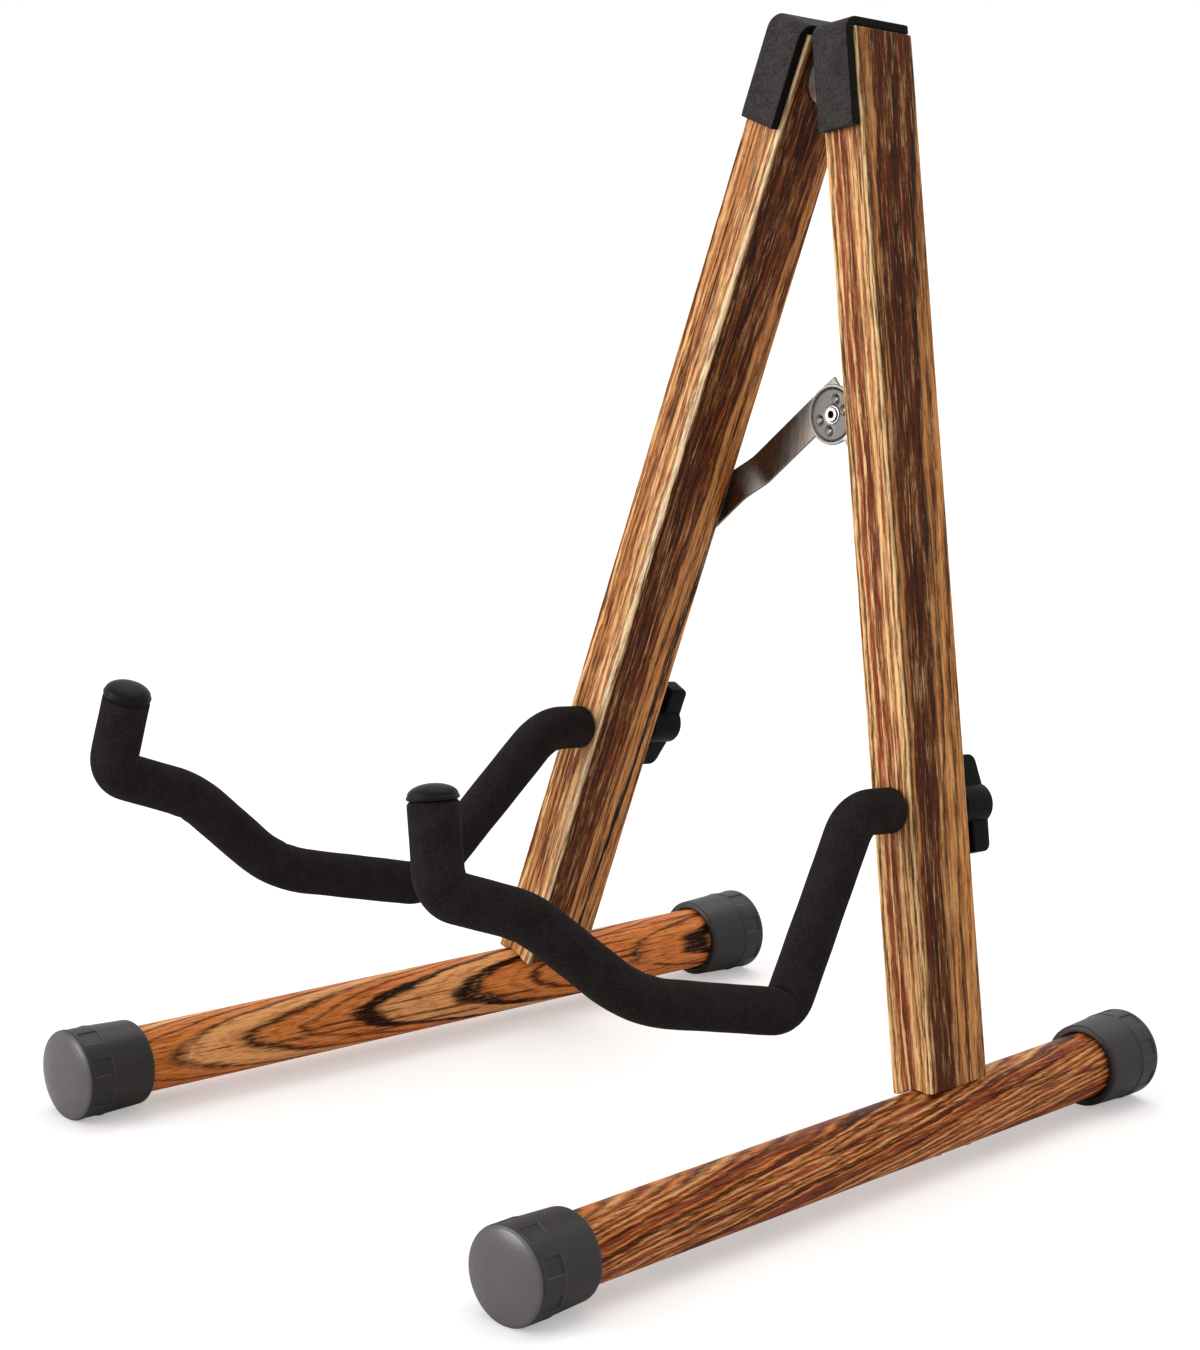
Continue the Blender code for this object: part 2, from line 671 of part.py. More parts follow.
def stay_drift(ratio):
    """How far apart the discs' centres come as the legs fold, for a ratio of turn to fold."""
    screw = (STAY_SCREW_X, STAY_SCREW_Z - HINGE_HEIGHT)
    start = math.atan2(STAY_DISC_HEIGHT - STAY_SCREW_Z, -STAY_SCREW_X)
    apart = []
    for i in range(41):
        fold = FOLD_ANGLE * i / 40
        x = screw[0] * math.cos(fold / 2) + screw[1] * math.sin(fold / 2)
        angle = start - fold / 2 - ratio * fold
        apart.append(2 * abs(x + STAY_REACH * math.cos(angle)))
    return max(apart)


STAY_RATIO = min((0.01 * i for i in range(401)), key=stay_drift)
STAY_PLAY = stay_drift(STAY_RATIO)


def stay_outline(disc_radius, offset, tip):
    """A strap from the screw, at (0, 0), that passes the disc's centre at an offset below it.

    Without a tip the strap's upper edge runs into the disc, and with one it ends square past it.
    """
    half = STAY_WIDTH / 2
    reach = math.sqrt(STAY_REACH**2 - offset**2)
    centre = (reach, -offset)
    meet = -math.pi - math.asin((offset - half) / disc_radius)
    if tip:
        start = math.acos(tip / disc_radius)
        corner = 0.0015
        end = reach + tip
        nose = arc((end - corner, half - corner), corner, math.pi / 2, 0, 3)
    else:
        start = math.asin(min(1.0, (half + offset) / disc_radius))
        nose = []
    disc = arc(centre, disc_radius, start, meet, 30)
    tail = arc((0, 0), half, math.tau * 3 / 4, math.pi / 2, 10)
    return [*nose, *disc, *tail]


def strap_angle(offset):
    """How steeply a strap rises from its screw toward the disc."""
    rise = math.atan2(STAY_DISC_HEIGHT - STAY_SCREW_Z, STAY_SCREW_X)
    return rise + math.asin(offset / STAY_REACH)


def make_stay_arm(side, name, joint):
    """One half of the stay: a stamped strap that steps back from the leg to its own layer."""
    front_layer = side > 0
    radius = STAY_DISC_RADIUS if front_layer else STAY_HIDDEN_DISC_RADIUS
    offset = radius - STAY_WIDTH / 2 if front_layer else STAY_OFFSET
    tip = 0.0 if front_layer else STAY_TIP_LENGTH
    depth = STAY_FRONT_DEPTH if front_layer else STAY_REAR_DEPTH
    angle = strap_angle(offset)
    toward = Vector((-side * math.cos(angle), 0, math.sin(angle)))
    outline = []
    for a, p in stay_outline(radius, offset, tip):
        x = -side * (a * math.cos(angle) - p * math.sin(angle))
        z = a * math.sin(angle) + p * math.cos(angle)
        outline.append((x, z))
    bm = bmesh.new()
    prism(bm, outline, 0, STAY_THICKNESS, 1)
    for along in (STAY_STEP_START, STAY_STEP_START + STAY_STEP_LENGTH):
        whole = bm.verts[:] + bm.edges[:] + bm.faces[:]
        bmesh.ops.bisect_plane(bm, geom=whole, plane_co=toward * along, plane_no=toward)
    for vert in bm.verts:
        share = (vert.co.dot(toward) - STAY_STEP_START) / STAY_STEP_LENGTH
        vert.co.y += STAY_NEAR_DEPTH + (depth - STAY_NEAR_DEPTH) * min(max(share, 0), 1)
    arm = piece(name + "_stay_arm", bm, "steel", joint)

    past = 0.002
    disc = (side * -STAY_SCREW_X, STAY_DISC_HEIGHT - STAY_SCREW_Z)
    rivet_hole = RIVET_RADIUS + CLEARANCE
    if not front_layer:
        rivet_hole = RIVET_RADIUS + STAY_PLAY + CLEARANCE / 2
    holes = bmesh.new()
    rod(
        holes,
        (0, STAY_NEAR_DEPTH - past, 0),
        (0, STAY_NEAR_DEPTH + STAY_THICKNESS + past, 0),
        STAY_SCREW_RADIUS + CLEARANCE,
        sides=16,
    )
    rod(
        holes,
        (disc[0], depth - past, disc[1]),
        (disc[0], depth + STAY_THICKNESS + past, disc[1]),
        rivet_hole,
        sides=24,
    )
    if front_layer:
        face = bmesh.new()
        rod(
            face,
            (disc[0], depth - past, disc[1]),
            (disc[0], depth + STAY_RIM_HEIGHT, disc[1]),
            STAY_DISC_RADIUS - STAY_RIM_WIDTH,
            sides=32,
        )
        combine(arm, face, "DIFFERENCE", "sunk face")
        dimples = bmesh.new()
        floor = depth + STAY_RIM_HEIGHT
        for degrees in (79, 206, 268, 23):
            x = disc[0] + STAY_DIMPLE_CIRCLE * math.cos(math.radians(degrees))
            z = disc[1] + STAY_DIMPLE_CIRCLE * math.sin(math.radians(degrees))
            start = (x, floor - past, z)
            end = (x, floor + STAY_DIMPLE_DEPTH, z)
            wide = STAY_DIMPLE_RADIUS * (1 + past / STAY_DIMPLE_DEPTH)
            rod(dimples, start, end, min(wide, STAY_DIMPLE_RADIUS * 1.3), STAY_DIMPLE_RADIUS * 0.6, 10)
        combine(arm, dimples, "DIFFERENCE", "dimples")
    combine(arm, holes, "DIFFERENCE", "screw and rivet holes")


def make_rivet(joint):
    """A hollow rivet through both discs, with the washer that backs the rear one."""
    disc = Matrix.Translation((-STAY_SCREW_X, 0, STAY_DISC_HEIGHT - STAY_SCREW_Z))
    front = STAY_FRONT_DEPTH + STAY_RIM_HEIGHT - CLEARANCE
    washer = STAY_REAR_DEPTH + STAY_THICKNESS + CLEARANCE
    back = washer + RIVET_WASHER_THICKNESS + CLEARANCE
    edge = RIVET_HEAD_HEIGHT / 3
    profile = [
        (RIVET_BORE_RADIUS, front - RIVET_HEAD_HEIGHT),
        (RIVET_HEAD_RADIUS - edge, front - RIVET_HEAD_HEIGHT),
        (RIVET_HEAD_RADIUS, front - edge),
        (RIVET_HEAD_RADIUS, front),
        (RIVET_RADIUS, front),
        (RIVET_RADIUS, back),
        (RIVET_HEAD_RADIUS, back),
        (RIVET_HEAD_RADIUS, back + RIVET_HEAD_HEIGHT),
        (RIVET_BORE_RADIUS, back + RIVET_HEAD_HEIGHT),
    ]
    bm = bmesh.new()
    turned(bm, profile, 12, closed=True)
    piece("stay_rivet", bm, "steel", joint, disc)
    hole = RIVET_RADIUS + CLEARANCE
    profile = [
        (hole, washer),
        (RIVET_WASHER_RADIUS, washer),
        (RIVET_WASHER_RADIUS, washer + RIVET_WASHER_THICKNESS),
        (hole, washer + RIVET_WASHER_THICKNESS),
    ]
    bm = bmesh.new()
    turned(bm, profile, 24, closed=True)
    piece("stay_washer", bm, "steel", joint, disc)


def make_stay_screw(side, name):
    """A round-headed screw that holds a strap to the back of its leg."""
    under = STAY_NEAR_DEPTH + STAY_THICKNESS + CLEARANCE
    top = under + STAY_SCREW_HEAD_HEIGHT
    tip = LEG_BACK - STAY_SCREW_LENGTH
    profile = [
        (0, tip),
        (STAY_SCREW_RADIUS, tip + STAY_SCREW_RADIUS),
        (STAY_SCREW_RADIUS, under),
        (STAY_SCREW_HEAD_RADIUS, under),
        (STAY_SCREW_HEAD_RADIUS, under + STAY_SCREW_HEAD_HEIGHT * 0.4),
        (STAY_SCREW_HEAD_RADIUS * 0.75, top - STAY_SCREW_HEAD_HEIGHT * 0.15),
        (STAY_SCREW_HEAD_RADIUS * 0.4, top),
    ]
    bm = bmesh.new()
    turned(bm, profile, 12)
    place = Matrix.Translation((0, 0, STAY_SCREW_ALONG_LEG))
    piece(name + "_stay_screw", bm, "steel", leg_lines[side], place)


# Cradle arms


def arm_corners(side, droop, start, extra=0.0):
    """The corners of an arm's centre line, from a start depth to its upturned end."""
    first = ARM_BENDS[0][0]

    def corner(forward, height):
        ahead = forward - first
        return Vector((side * ARM_TOE_ANGLE * ahead, -forward, height - droop * ahead))

    corners = [Vector((0, start, 0))]
    corners += [corner(forward, height) for forward, height, _ in ARM_BENDS]
    end = corner(ARM_END_FORWARD, ARM_END_HEIGHT)
    corners.append(end + (end - corners[-1]).normalized() * extra)
    return corners


def make_arm(side, name, joint, droop):
    """A bent rod with a welded collar, its foam sleeve and the plug on its end."""
    radii = [radius for _, _, radius in ARM_BENDS]
    face = LEG_FRONT - CLEARANCE
    collar_end = face - ROD_COLLAR_LENGTH
    forward = Vector((0, -1, 0))
    path = rounded_path(arm_corners(side, droop, ROD_BEHIND, ROD_IN_TIP), radii)
    rings = [ring_round(*path[0], ROD_RADIUS, ROD_SIDES)]
    for y, radius in (
        (face, ROD_RADIUS),
        (face, ROD_COLLAR_RADIUS),
        (collar_end, ROD_COLLAR_RADIUS),
        (collar_end, ROD_RADIUS),
    ):
        rings.append(ring_round(Vector((0, y, 0)), forward, radius, ROD_SIDES))
    rings += [ring_round(*stop, ROD_RADIUS, ROD_SIDES) for stop in path[1:]]
    bm = bmesh.new()
    loft(bm, rings)
    piece(name + "_arm_rod", bm, "steel", joint)

    path = rounded_path(arm_corners(side, droop, face), radii)
    bore = ROD_RADIUS + CLEARANCE
    wide = ROD_COLLAR_RADIUS + CLEARANCE
    step = collar_end - CLEARANCE
    outer = [ring_round(*stop, FOAM_RADIUS, FOAM_SIDES) for stop in path]
    inner = [ring_round(*stop, bore, FOAM_SIDES) for stop in path[1:]]
    mouth = [
        ring_round(Vector((0, y, 0)), forward, radius, FOAM_SIDES)
        for y, radius in ((face, wide), (step, wide), (step, bore))
    ]
    bm = bmesh.new()
    loft(bm, [*outer, *reversed(inner), *reversed(mouth)], closed=True)
    piece(name + "_arm_foam", bm, "foam", joint)

    end, direction = path[-1]
    start = end + direction * CLEARANCE
    lip = TIP_LIP_LENGTH
    shape = [(bore, 0.0), (TIP_RADIUS, 0.0), (TIP_RADIUS, lip)]
    shape.append((TIP_RADIUS - 0.0005, lip + 0.0003))
    for degrees in (32, 62):
        share = math.radians(degrees)
        radius = (TIP_RADIUS - 0.0005) * math.cos(share)
        shape.append((radius, lip + 0.0003 + TIP_DOME_HEIGHT * math.sin(share)))
    shape.append((0.0, lip + 0.0003 + TIP_DOME_HEIGHT))
    hollow = ROD_IN_TIP
    rings = []
    for radius, along in [(0.0, hollow), (bore, hollow), *shape]:
        point = start + direction * along
        rings.append(ring_round(point, direction, radius, FOAM_SIDES) if radius else [point])
    bm = bmesh.new()
    loft(bm, rings)
    piece(name + "_arm_tip", bm, "moulded plastic", joint)


def make_knob_washer(name, joint):
    hole = ROD_RADIUS + CLEARANCE
    back = KNOB_WASHER_DEPTH + KNOB_WASHER_THICKNESS
    profile = [
        (hole, KNOB_WASHER_DEPTH),
        (KNOB_WASHER_RADIUS, KNOB_WASHER_DEPTH),
        (KNOB_WASHER_RADIUS, back),
        (hole, back),
    ]
    bm = bmesh.new()
    turned(bm, profile, 20, closed=True)
    piece(name + "_knob_washer", bm, "steel", joint)


def make_knob(side, name, joint):
    """A wing knob: a round hub with two flat wings, moulded over a threaded insert.

    The wings sweep forward, so their tips lie nearer the leg than their roots.
    """
    shoulder = KNOB_CROWN_DEPTH - KNOB_DOME_HEIGHT
    profile = [
        (KNOB_HUB_RADIUS - 0.0006, KNOB_FRONT_DEPTH),
        (KNOB_HUB_RADIUS, KNOB_FRONT_DEPTH + 0.0006),
        (KNOB_HUB_RADIUS, shoulder - 0.0006),
        (KNOB_HUB_RADIUS * 0.9, shoulder + KNOB_DOME_HEIGHT * 0.35),
        (KNOB_HUB_RADIUS * 0.5, KNOB_CROWN_DEPTH - KNOB_DOME_HEIGHT * 0.15),
        (0, KNOB_CROWN_DEPTH),
    ]
    bm = bmesh.new()
    turned(bm, profile, 28)
    knob = piece(name + "_wing_knob", bm, "moulded plastic", joint)

    half = KNOB_WING_SPAN / 2
    inset = KNOB_WING_CORNER
    high = arc((KNOB_WING_END_DEPTH - inset, half - inset), inset, math.pi / 2, 0, 5)
    low = [(y, -z) for y, z in reversed(high)]
    front = KNOB_WING_START_DEPTH
    root = KNOB_HUB_RADIUS * 0.6
    deep_front, deep_back = front + KNOB_WING_SWEEP, KNOB_WING_END_DEPTH + KNOB_WING_SWEEP
    outline = [(front, half), *high, (deep_back, root), (deep_back, -root), *low]
    outline += [(front, -half), (deep_front, -root), (deep_front, root)]
    wings = bmesh.new()
    prism(wings, outline, -KNOB_WING_THICKNESS / 2, KNOB_WING_THICKNESS / 2, 0)
    bmesh.ops.bevel(
        wings,
        geom=[edge for edge in wings.edges if edge.calc_face_angle(0) > math.radians(40)],
        offset=KNOB_EDGE_ROUNDING,
        segments=1,
        affect="EDGES",
    )
    combine(knob, wings, "UNION", "wings")

    hole = bmesh.new()
    floor = ROD_BEHIND + CLEARANCE
    start = (0, KNOB_FRONT_DEPTH - 0.001, 0)
    rod(hole, start, (0, floor, 0), INSERT_RADIUS + CLEARANCE, sides=20)
    combine(knob, hole, "DIFFERENCE", "insert hole")

    start = KNOB_FRONT_DEPTH + CLEARANCE
    bore = ROD_RADIUS + CLEARANCE
    profile = [
        (bore, start),
        (INSERT_RADIUS, start),
        (INSERT_RADIUS, start + INSERT_LENGTH),
        (bore, start + INSERT_LENGTH),
    ]
    bm = bmesh.new()
    turned(bm, profile, 20, closed=True)
    piece(name + "_knob_insert", bm, "brass", joint)


# The stand


joints = {"left_fold": halves[-1]}
droops = {1: RIGHT_ARM_DROOP, -1: LEFT_ARM_DROOP}
swings = {1: RIGHT_ARM_SWING, -1: LEFT_ARM_SWING}
turns = {1: RIGHT_KNOB_TURN, -1: LEFT_KNOB_TURN}
for side, name in SIDES:
    make_leg(side, name)
    make_top_pad(side, name)
    make_rail(side, name)
    for end in (-1, 1):
        make_bolt(side, name, end)
        make_cap(side, name, end)
    make_hinge_leaf(side, name)
    for index, (y, z) in enumerate(hinge_screw_places(), 1):
        make_hinge_screw(side, name, index, y, z)

    screw = Matrix.Translation((side * STAY_SCREW_X, 0, STAY_SCREW_Z - HINGE_HEIGHT))
    stay_joint = empty(name + "_stay_joint", halves[side], screw)
    make_stay_arm(side, name, stay_joint)
    make_stay_screw(side, name)
    if side > 0:
        make_rivet(stay_joint)

    hole = Matrix.Translation((0, 0, ARM_HEIGHT_ALONG_LEG))
    swing = Matrix.Rotation(side * swings[side], 4, "Y")
    arm_joint = empty(name + "_arm_joint", leg_lines[side], hole @ swing)
    make_arm(side, name, arm_joint, droops[side])
    make_knob_washer(name, arm_joint)
    turn = Matrix.Rotation(-side * turns[side] - side * swings[side], 4, "Y")
    knob_joint = empty(name + "_knob_joint", arm_joint, turn)
    make_knob(side, name, knob_joint)
    joints[name + "_stay"] = stay_joint
    joints[name + "_arm"] = arm_joint
    joints[name + "_knob"] = knob_joint
make_hinge_pin()

# The stand's middle is put over the origin, with the rails' caps resting on the floor.
bpy.context.view_layer.update()
graph = bpy.context.evaluated_depsgraph_get()
low = Vector((math.inf,) * 3)
high = Vector((-math.inf,) * 3)
for solid in bpy.data.objects:
    if solid.type != "MESH" or solid.hide_render:
        continue
    evaluated = solid.evaluated_get(graph)
    for vert in evaluated.data.vertices:
        point = evaluated.matrix_world @ vert.co
        low = Vector(map(min, low, point))
        high = Vector(map(max, high, point))
stand.location = (-(low.x + high.x) / 2, -(low.y + high.y) / 2, -low.z)
bpy.context.view_layer.update()

print("stand moved by", tuple(round(1000 * v, 3) for v in stand.location), "mm")
print("size", tuple(round(1000 * v, 2) for v in high - low), "mm")
print("stay ratio", round(STAY_RATIO, 3), "play", round(1000 * STAY_PLAY, 3), "mm")
for name, joint in joints.items():
    place = joint.matrix_world
    centre = tuple(round(v, 6) for v in place.translation)
    axis = tuple(round(v, 6) for v in place.to_3x3() @ Vector((0, 1, 0)))
    print(name, "joint at", centre, "axis", axis)
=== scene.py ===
# %% [markdown]
# # A folding wooden guitar stand
# The imported model is loaded first. Every solid is in its true place, so the lesson only has to
# make the surfaces finer and give them their finish. The box round the whole model is kept.

import math

import bmesh
import bpy
import numpy as np
from mathutils import Matrix


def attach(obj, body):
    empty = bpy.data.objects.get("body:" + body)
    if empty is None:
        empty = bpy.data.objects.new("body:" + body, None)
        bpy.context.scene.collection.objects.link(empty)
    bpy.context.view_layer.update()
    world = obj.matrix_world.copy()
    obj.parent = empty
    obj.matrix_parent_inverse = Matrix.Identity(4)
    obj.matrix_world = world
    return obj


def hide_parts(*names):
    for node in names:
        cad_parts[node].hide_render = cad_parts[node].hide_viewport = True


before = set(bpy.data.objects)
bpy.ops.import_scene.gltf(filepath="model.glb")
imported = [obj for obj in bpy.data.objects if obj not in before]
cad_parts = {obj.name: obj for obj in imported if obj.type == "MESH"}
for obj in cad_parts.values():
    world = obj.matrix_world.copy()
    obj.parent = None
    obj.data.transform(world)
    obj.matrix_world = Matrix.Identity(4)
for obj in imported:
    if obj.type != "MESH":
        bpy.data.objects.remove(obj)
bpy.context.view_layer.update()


def placed(name, data):
    """A new object with its data, put in the scene."""
    made = bpy.data.objects.new(name, data)
    bpy.context.scene.collection.objects.link(made)
    return made


# %% [markdown]
# ## The camera
# The stand is seen from its front right, a little from above. The camera's place and turn were
# worked out from the straight edges of the legs and rails, so the stand lands on the same
# pixels as in the photograph. A camera looks along its own -Z, with +X to the right of the
# picture, so its matrix is built from those three directions.

# %% Place the camera
CAMERA_PLACE = np.array([0.88508, -0.88826, 0.45024])
CAMERA_YAW, CAMERA_PITCH, CAMERA_ROLL = 0.7944, 0.2062, 0.0408
FOCAL_PIXELS, PICTURE_HEIGHT, SENSOR = 3130.4, 1350, 36.0


def camera_axes(yaw, pitch, roll):
    """Right, up and forward of a camera turned by yaw about Z, tipped down by pitch and rolled."""
    ahead = np.array([-math.sin(yaw), math.cos(yaw), 0.0]) * math.cos(pitch)
    forward = ahead - np.array([0.0, 0.0, math.sin(pitch)])
    level = np.array([math.cos(yaw), math.sin(yaw), 0.0])
    upward = np.cross(level, forward)
    right = math.cos(roll) * level + math.sin(roll) * upward
    return right, -math.sin(roll) * level + math.cos(roll) * upward, forward


lens = bpy.data.cameras.new("camera")
lens.sensor_fit = "VERTICAL"
lens.sensor_height = SENSOR
lens.lens = FOCAL_PIXELS * SENSOR / PICTURE_HEIGHT
lens.clip_end = 30.0
camera = placed("camera", lens)
right, upward, forward = camera_axes(CAMERA_YAW, CAMERA_PITCH, CAMERA_ROLL)
place = np.eye(4)
place[:3, 0], place[:3, 1], place[:3, 2], place[:3, 3] = right, upward, -forward, CAMERA_PLACE
camera.matrix_world = Matrix(place.tolist())
bpy.context.scene.camera = camera
print("lens", round(lens.lens, 2), "mm")

# %% [markdown]
# ## Sizes and directions of the real stand
# The new surfaces are worked out from the same sizes as the solids. Each leg has its own three
# directions: across its width, back through its depth, and up along its length. Each rail has a
# direction too, because the rails spread a little toward the front. MIDDLE lies halfway between
# the feet, level with the middle of the rails, and the plane of the fold leans back from it.

# %% The stand's sizes, in metres
CLEARANCE = 0.0003
LEG_WIDTH, LEG_DEPTH, LEG_LENGTH = 0.0208, 0.03575, 0.4455
LEG_FOOT_HEIGHT = 0.0127
HINGE_HALF_GAP, PIN_BELOW_TOP = 0.00288, 0.0032
SPLAY, LEAN, TOE_OUT = 0.2491, 0.0929, 0.0448
RAIL_RADIUS, RAIL_AHEAD, RAIL_BEHIND = 0.014, 0.2460, 0.1235
ARM_HEIGHT, ROD_RADIUS = 0.126, 0.004
STAY_SCREW = 0.2255
BOLT_SPACING = 0.020
SCREW_HOLE, HINGE_SCREW_HOLE, BOLT_HOLE, BOLT_RECESS = 0.0023, 0.0015, 0.0033, 0.0053
DRILL_PAST = 0.002
HINGE_HEIGHT = LEG_LENGTH * math.cos(SPLAY) - LEG_WIDTH / 2 * math.sin(SPLAY) - PIN_BELOW_TOP
HALF_TRACK = (HINGE_HALF_GAP + LEG_WIDTH / 2 + HINGE_HEIGHT * math.sin(SPLAY)) / math.cos(SPLAY)
HINGE_ALONG_LEG = HALF_TRACK * math.sin(SPLAY) + HINGE_HEIGHT * math.cos(SPLAY)
MIDDLE = np.array([0.0, 0.066936, 0.018439])
SIDES = ((1, "right"), (-1, "left"))


def turn(axis, angle):
    """A rotation matrix about X, Y or Z."""
    c, s = math.cos(angle), math.sin(angle)
    return {
        "X": np.array([[1, 0, 0], [0, c, -s], [0, s, c]]),
        "Y": np.array([[c, 0, s], [0, 1, 0], [-s, 0, c]]),
        "Z": np.array([[c, -s, 0], [s, c, 0], [0, 0, 1]]),
    }[axis]


PLANE = turn("X", -LEAN)
LEG_TURN = {side: PLANE @ turn("Y", -side * SPLAY) for side, _ in SIDES}
RAIL_TURN = {side: turn("Z", side * TOE_OUT) for side, _ in SIDES}
FOOT = {side: MIDDLE + np.array([side * HALF_TRACK, 0, 0]) for side, _ in SIDES}


def in_leg(side, points):
    """Points given as (across, depth, along) of a leg, moved to their place in the stand."""
    return np.asarray(points) @ LEG_TURN[side].T + FOOT[side]


def in_rail(side, points):
    """Points given in a rail's own directions, with Y along it, moved to their place."""
    return np.asarray(points) @ RAIL_TURN[side].T + FOOT[side]


def in_plane(points):
    """Points given as (x, depth, height) in the fold's leaning plane, moved to their place."""
    return np.asarray(points) @ PLANE.T + MIDDLE


print("hinge is", round(1000 * HINGE_HEIGHT, 1), "mm up the plane")

# %% [markdown]
# ## Turning a grid of points into a mesh
# Almost every piece here is a grid: rings of points that follow each other along a path. The
# grid is made as one array and handed to Blender whole. Each ring is closed on itself. Where a
# ring shrinks to a single point it makes a pole, so points in the same place are merged, and the
# normals are then made to face outward.

# %% Grids to meshes


def new_object(name, points, faces):
    """One object at the origin from an array of points and a list of faces."""
    mesh = bpy.data.meshes.new(name)
    mesh.from_pydata(np.asarray(points).reshape(-1, 3).tolist(), [], faces)
    work = bmesh.new()
    work.from_mesh(mesh)
    bmesh.ops.remove_doubles(work, verts=work.verts, dist=2e-6)
    bmesh.ops.dissolve_degenerate(work, edges=work.edges, dist=1e-6)
    bmesh.ops.recalc_face_normals(work, faces=work.faces)
    work.to_mesh(mesh)
    work.free()
    return placed(name, mesh)


def skin(name, rings, closed=False):
    """A closed surface through rings of points, an array of (rings, points, 3)."""
    rings = np.asarray(rings, float)
    rows, columns = rings.shape[:2]
    start = np.arange(rows if closed else rows - 1)[:, None] * columns
    after = (start + columns) % (rows * columns)
    here = np.arange(columns)[None, :]
    beside = (here + 1) % columns
    quads = np.stack([start + here, start + beside, after + beside, after + here], axis=-1)
    return new_object(name, rings, quads.reshape(-1, 4).tolist())


def smooth(piece, angle=40.0):
    """Shades a piece smooth, and keeps the edges sharp where faces meet at more than an angle."""
    piece.data.shade_smooth()
    piece.data.set_sharp_from_angle(angle=math.radians(angle))
    return piece


def turned_rings(profile, columns):
    """Turns (radius, along) pairs about the Y axis: x = r cos a, z = r sin a."""
    profile = np.asarray(profile, float)
    a = np.linspace(0, 2 * np.pi, columns, endpoint=False)
    r = profile[:, 0:1]
    return np.stack([r * np.cos(a), profile[:, 1:2] + 0 * a, r * np.sin(a)], axis=-1)


def bar(start, end, radius, columns=40):
    """Rings of a round bar between two points: a turned profile whose Y is laid along the bar."""
    start, end = np.array(start, float), np.array(end, float)
    length = np.linalg.norm(end - start)
    y = (end - start) / length
    x = np.cross(y, [0, 0, 1.0] if abs(y[2]) < 0.9 else [1.0, 0, 0])
    x = x / np.linalg.norm(x)
    rings = turned_rings([(0, 0), (radius, 0), (radius, length), (0, length)], columns)
    return rings @ np.stack([x, y, np.cross(x, y)]) + start


def smooth_step(low, high, value):
    """0 below low, 1 above high, and 3t^2 - 2t^3 between them."""
    t = np.clip((value - low) / (high - low), 0, 1)
    return t * t * (3 - 2 * t)


def bell(value, middle, width):
    """A smooth hump: 1 at the middle and 1/e a width away from it, which is e^-((v - m) / w)^2."""
    return np.exp(-(((value - middle) / width) ** 2))


# %% [markdown]
# The other helpers finish a piece. Boolean modifiers cut it or join it to another, numbers are
# stored on its points for its finish to read, and at last it takes the place of its solid and
# rides on the same moving body.

# %% Cutting, marking and fitting pieces


def remove(used):
    """Takes away helper pieces and their meshes."""
    for piece in used:
        old = piece.data
        bpy.data.objects.remove(piece)
        bpy.data.meshes.remove(old)


def settle(piece, others, operation="DIFFERENCE"):
    """Cuts other pieces out of a piece, or joins them on, and keeps the result as its mesh."""
    for other in others:
        boolean = piece.modifiers.new("with " + other.name, "BOOLEAN")
        boolean.operation = operation
        boolean.object = other
        boolean.solver = "EXACT"
    bpy.context.view_layer.update()
    graph = bpy.context.evaluated_depsgraph_get()
    mesh = bpy.data.meshes.new_from_object(piece.evaluated_get(graph))
    piece.modifiers.clear()
    piece.data, old = mesh, piece.data
    bpy.data.meshes.remove(old)
    remove(others)
    return piece


def points_of(piece):
    """A piece's points as an (n, 3) array."""
    points = np.empty(len(piece.data.vertices) * 3)
    piece.data.vertices.foreach_get("co", points)
    return points.reshape(-1, 3)


def mark(piece, name, values):
    """Stores one number for each point of a piece, for its finish to read."""
    layer = piece.data.attributes.new(name, "FLOAT", "POINT")
    layer.data.foreach_set("value", np.asarray(values, np.float32))


pieces = {}


def fit(piece, solid, body, key):
    """Puts a piece in place of a solid, on the same moving body, and keeps it under a short name."""
    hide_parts(solid)
    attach(piece, body)
    pieces[key] = piece
    print(piece.name, len(piece.data.polygons), "faces")


print("helpers ready")

# %% [markdown]
# ## The legs
# A leg is a sawn board with its edges just broken. A cube with a Bevel modifier would do, but
# here the outline is a rectangle with round corners, carried along the leg ring by ring. At the
# foot the rings shrink inward over the curve of the rail, because the real foot is hollowed to
# sit on it, and at the top they pull in over a small round edge. The holes for the rod, the bolts
# and the screws are drilled with a Boolean modifier, as they are in the workshop.

# %% A rounded rectangle and the hollow of the foot


def rounded_rectangle(width, depth, radius, per_corner=6, per_side=8):
    """The outline of a rectangle whose corners are quarter circles, as an (n, 2) array."""
    corners = np.array([[1, 1], [-1, 1], [-1, -1], [1, -1]]) * [width / 2 - radius, depth / 2 - radius]
    start = np.arange(4)[:, None] * np.pi / 2
    a = start + np.linspace(0, np.pi / 2, per_corner)[None, :]
    arcs = corners[:, None, :] + radius * np.stack([np.cos(a), np.sin(a)], axis=-1)
    t = np.linspace(0, 1, per_side + 2)[1:-1][None, :, None]
    ahead = np.roll(arcs, -1, axis=0)[:, 0:1, :]
    sides = arcs[:, -1:, :] * (1 - t) + ahead * t
    return np.concatenate([arcs, sides], axis=1).reshape(-1, 2)


def rail_in_leg(side):
    """The direction of a rail, front to back, in its leg's own directions."""
    return LEG_TURN[side].T @ RAIL_TURN[side] @ np.array([0, 1.0, 0])


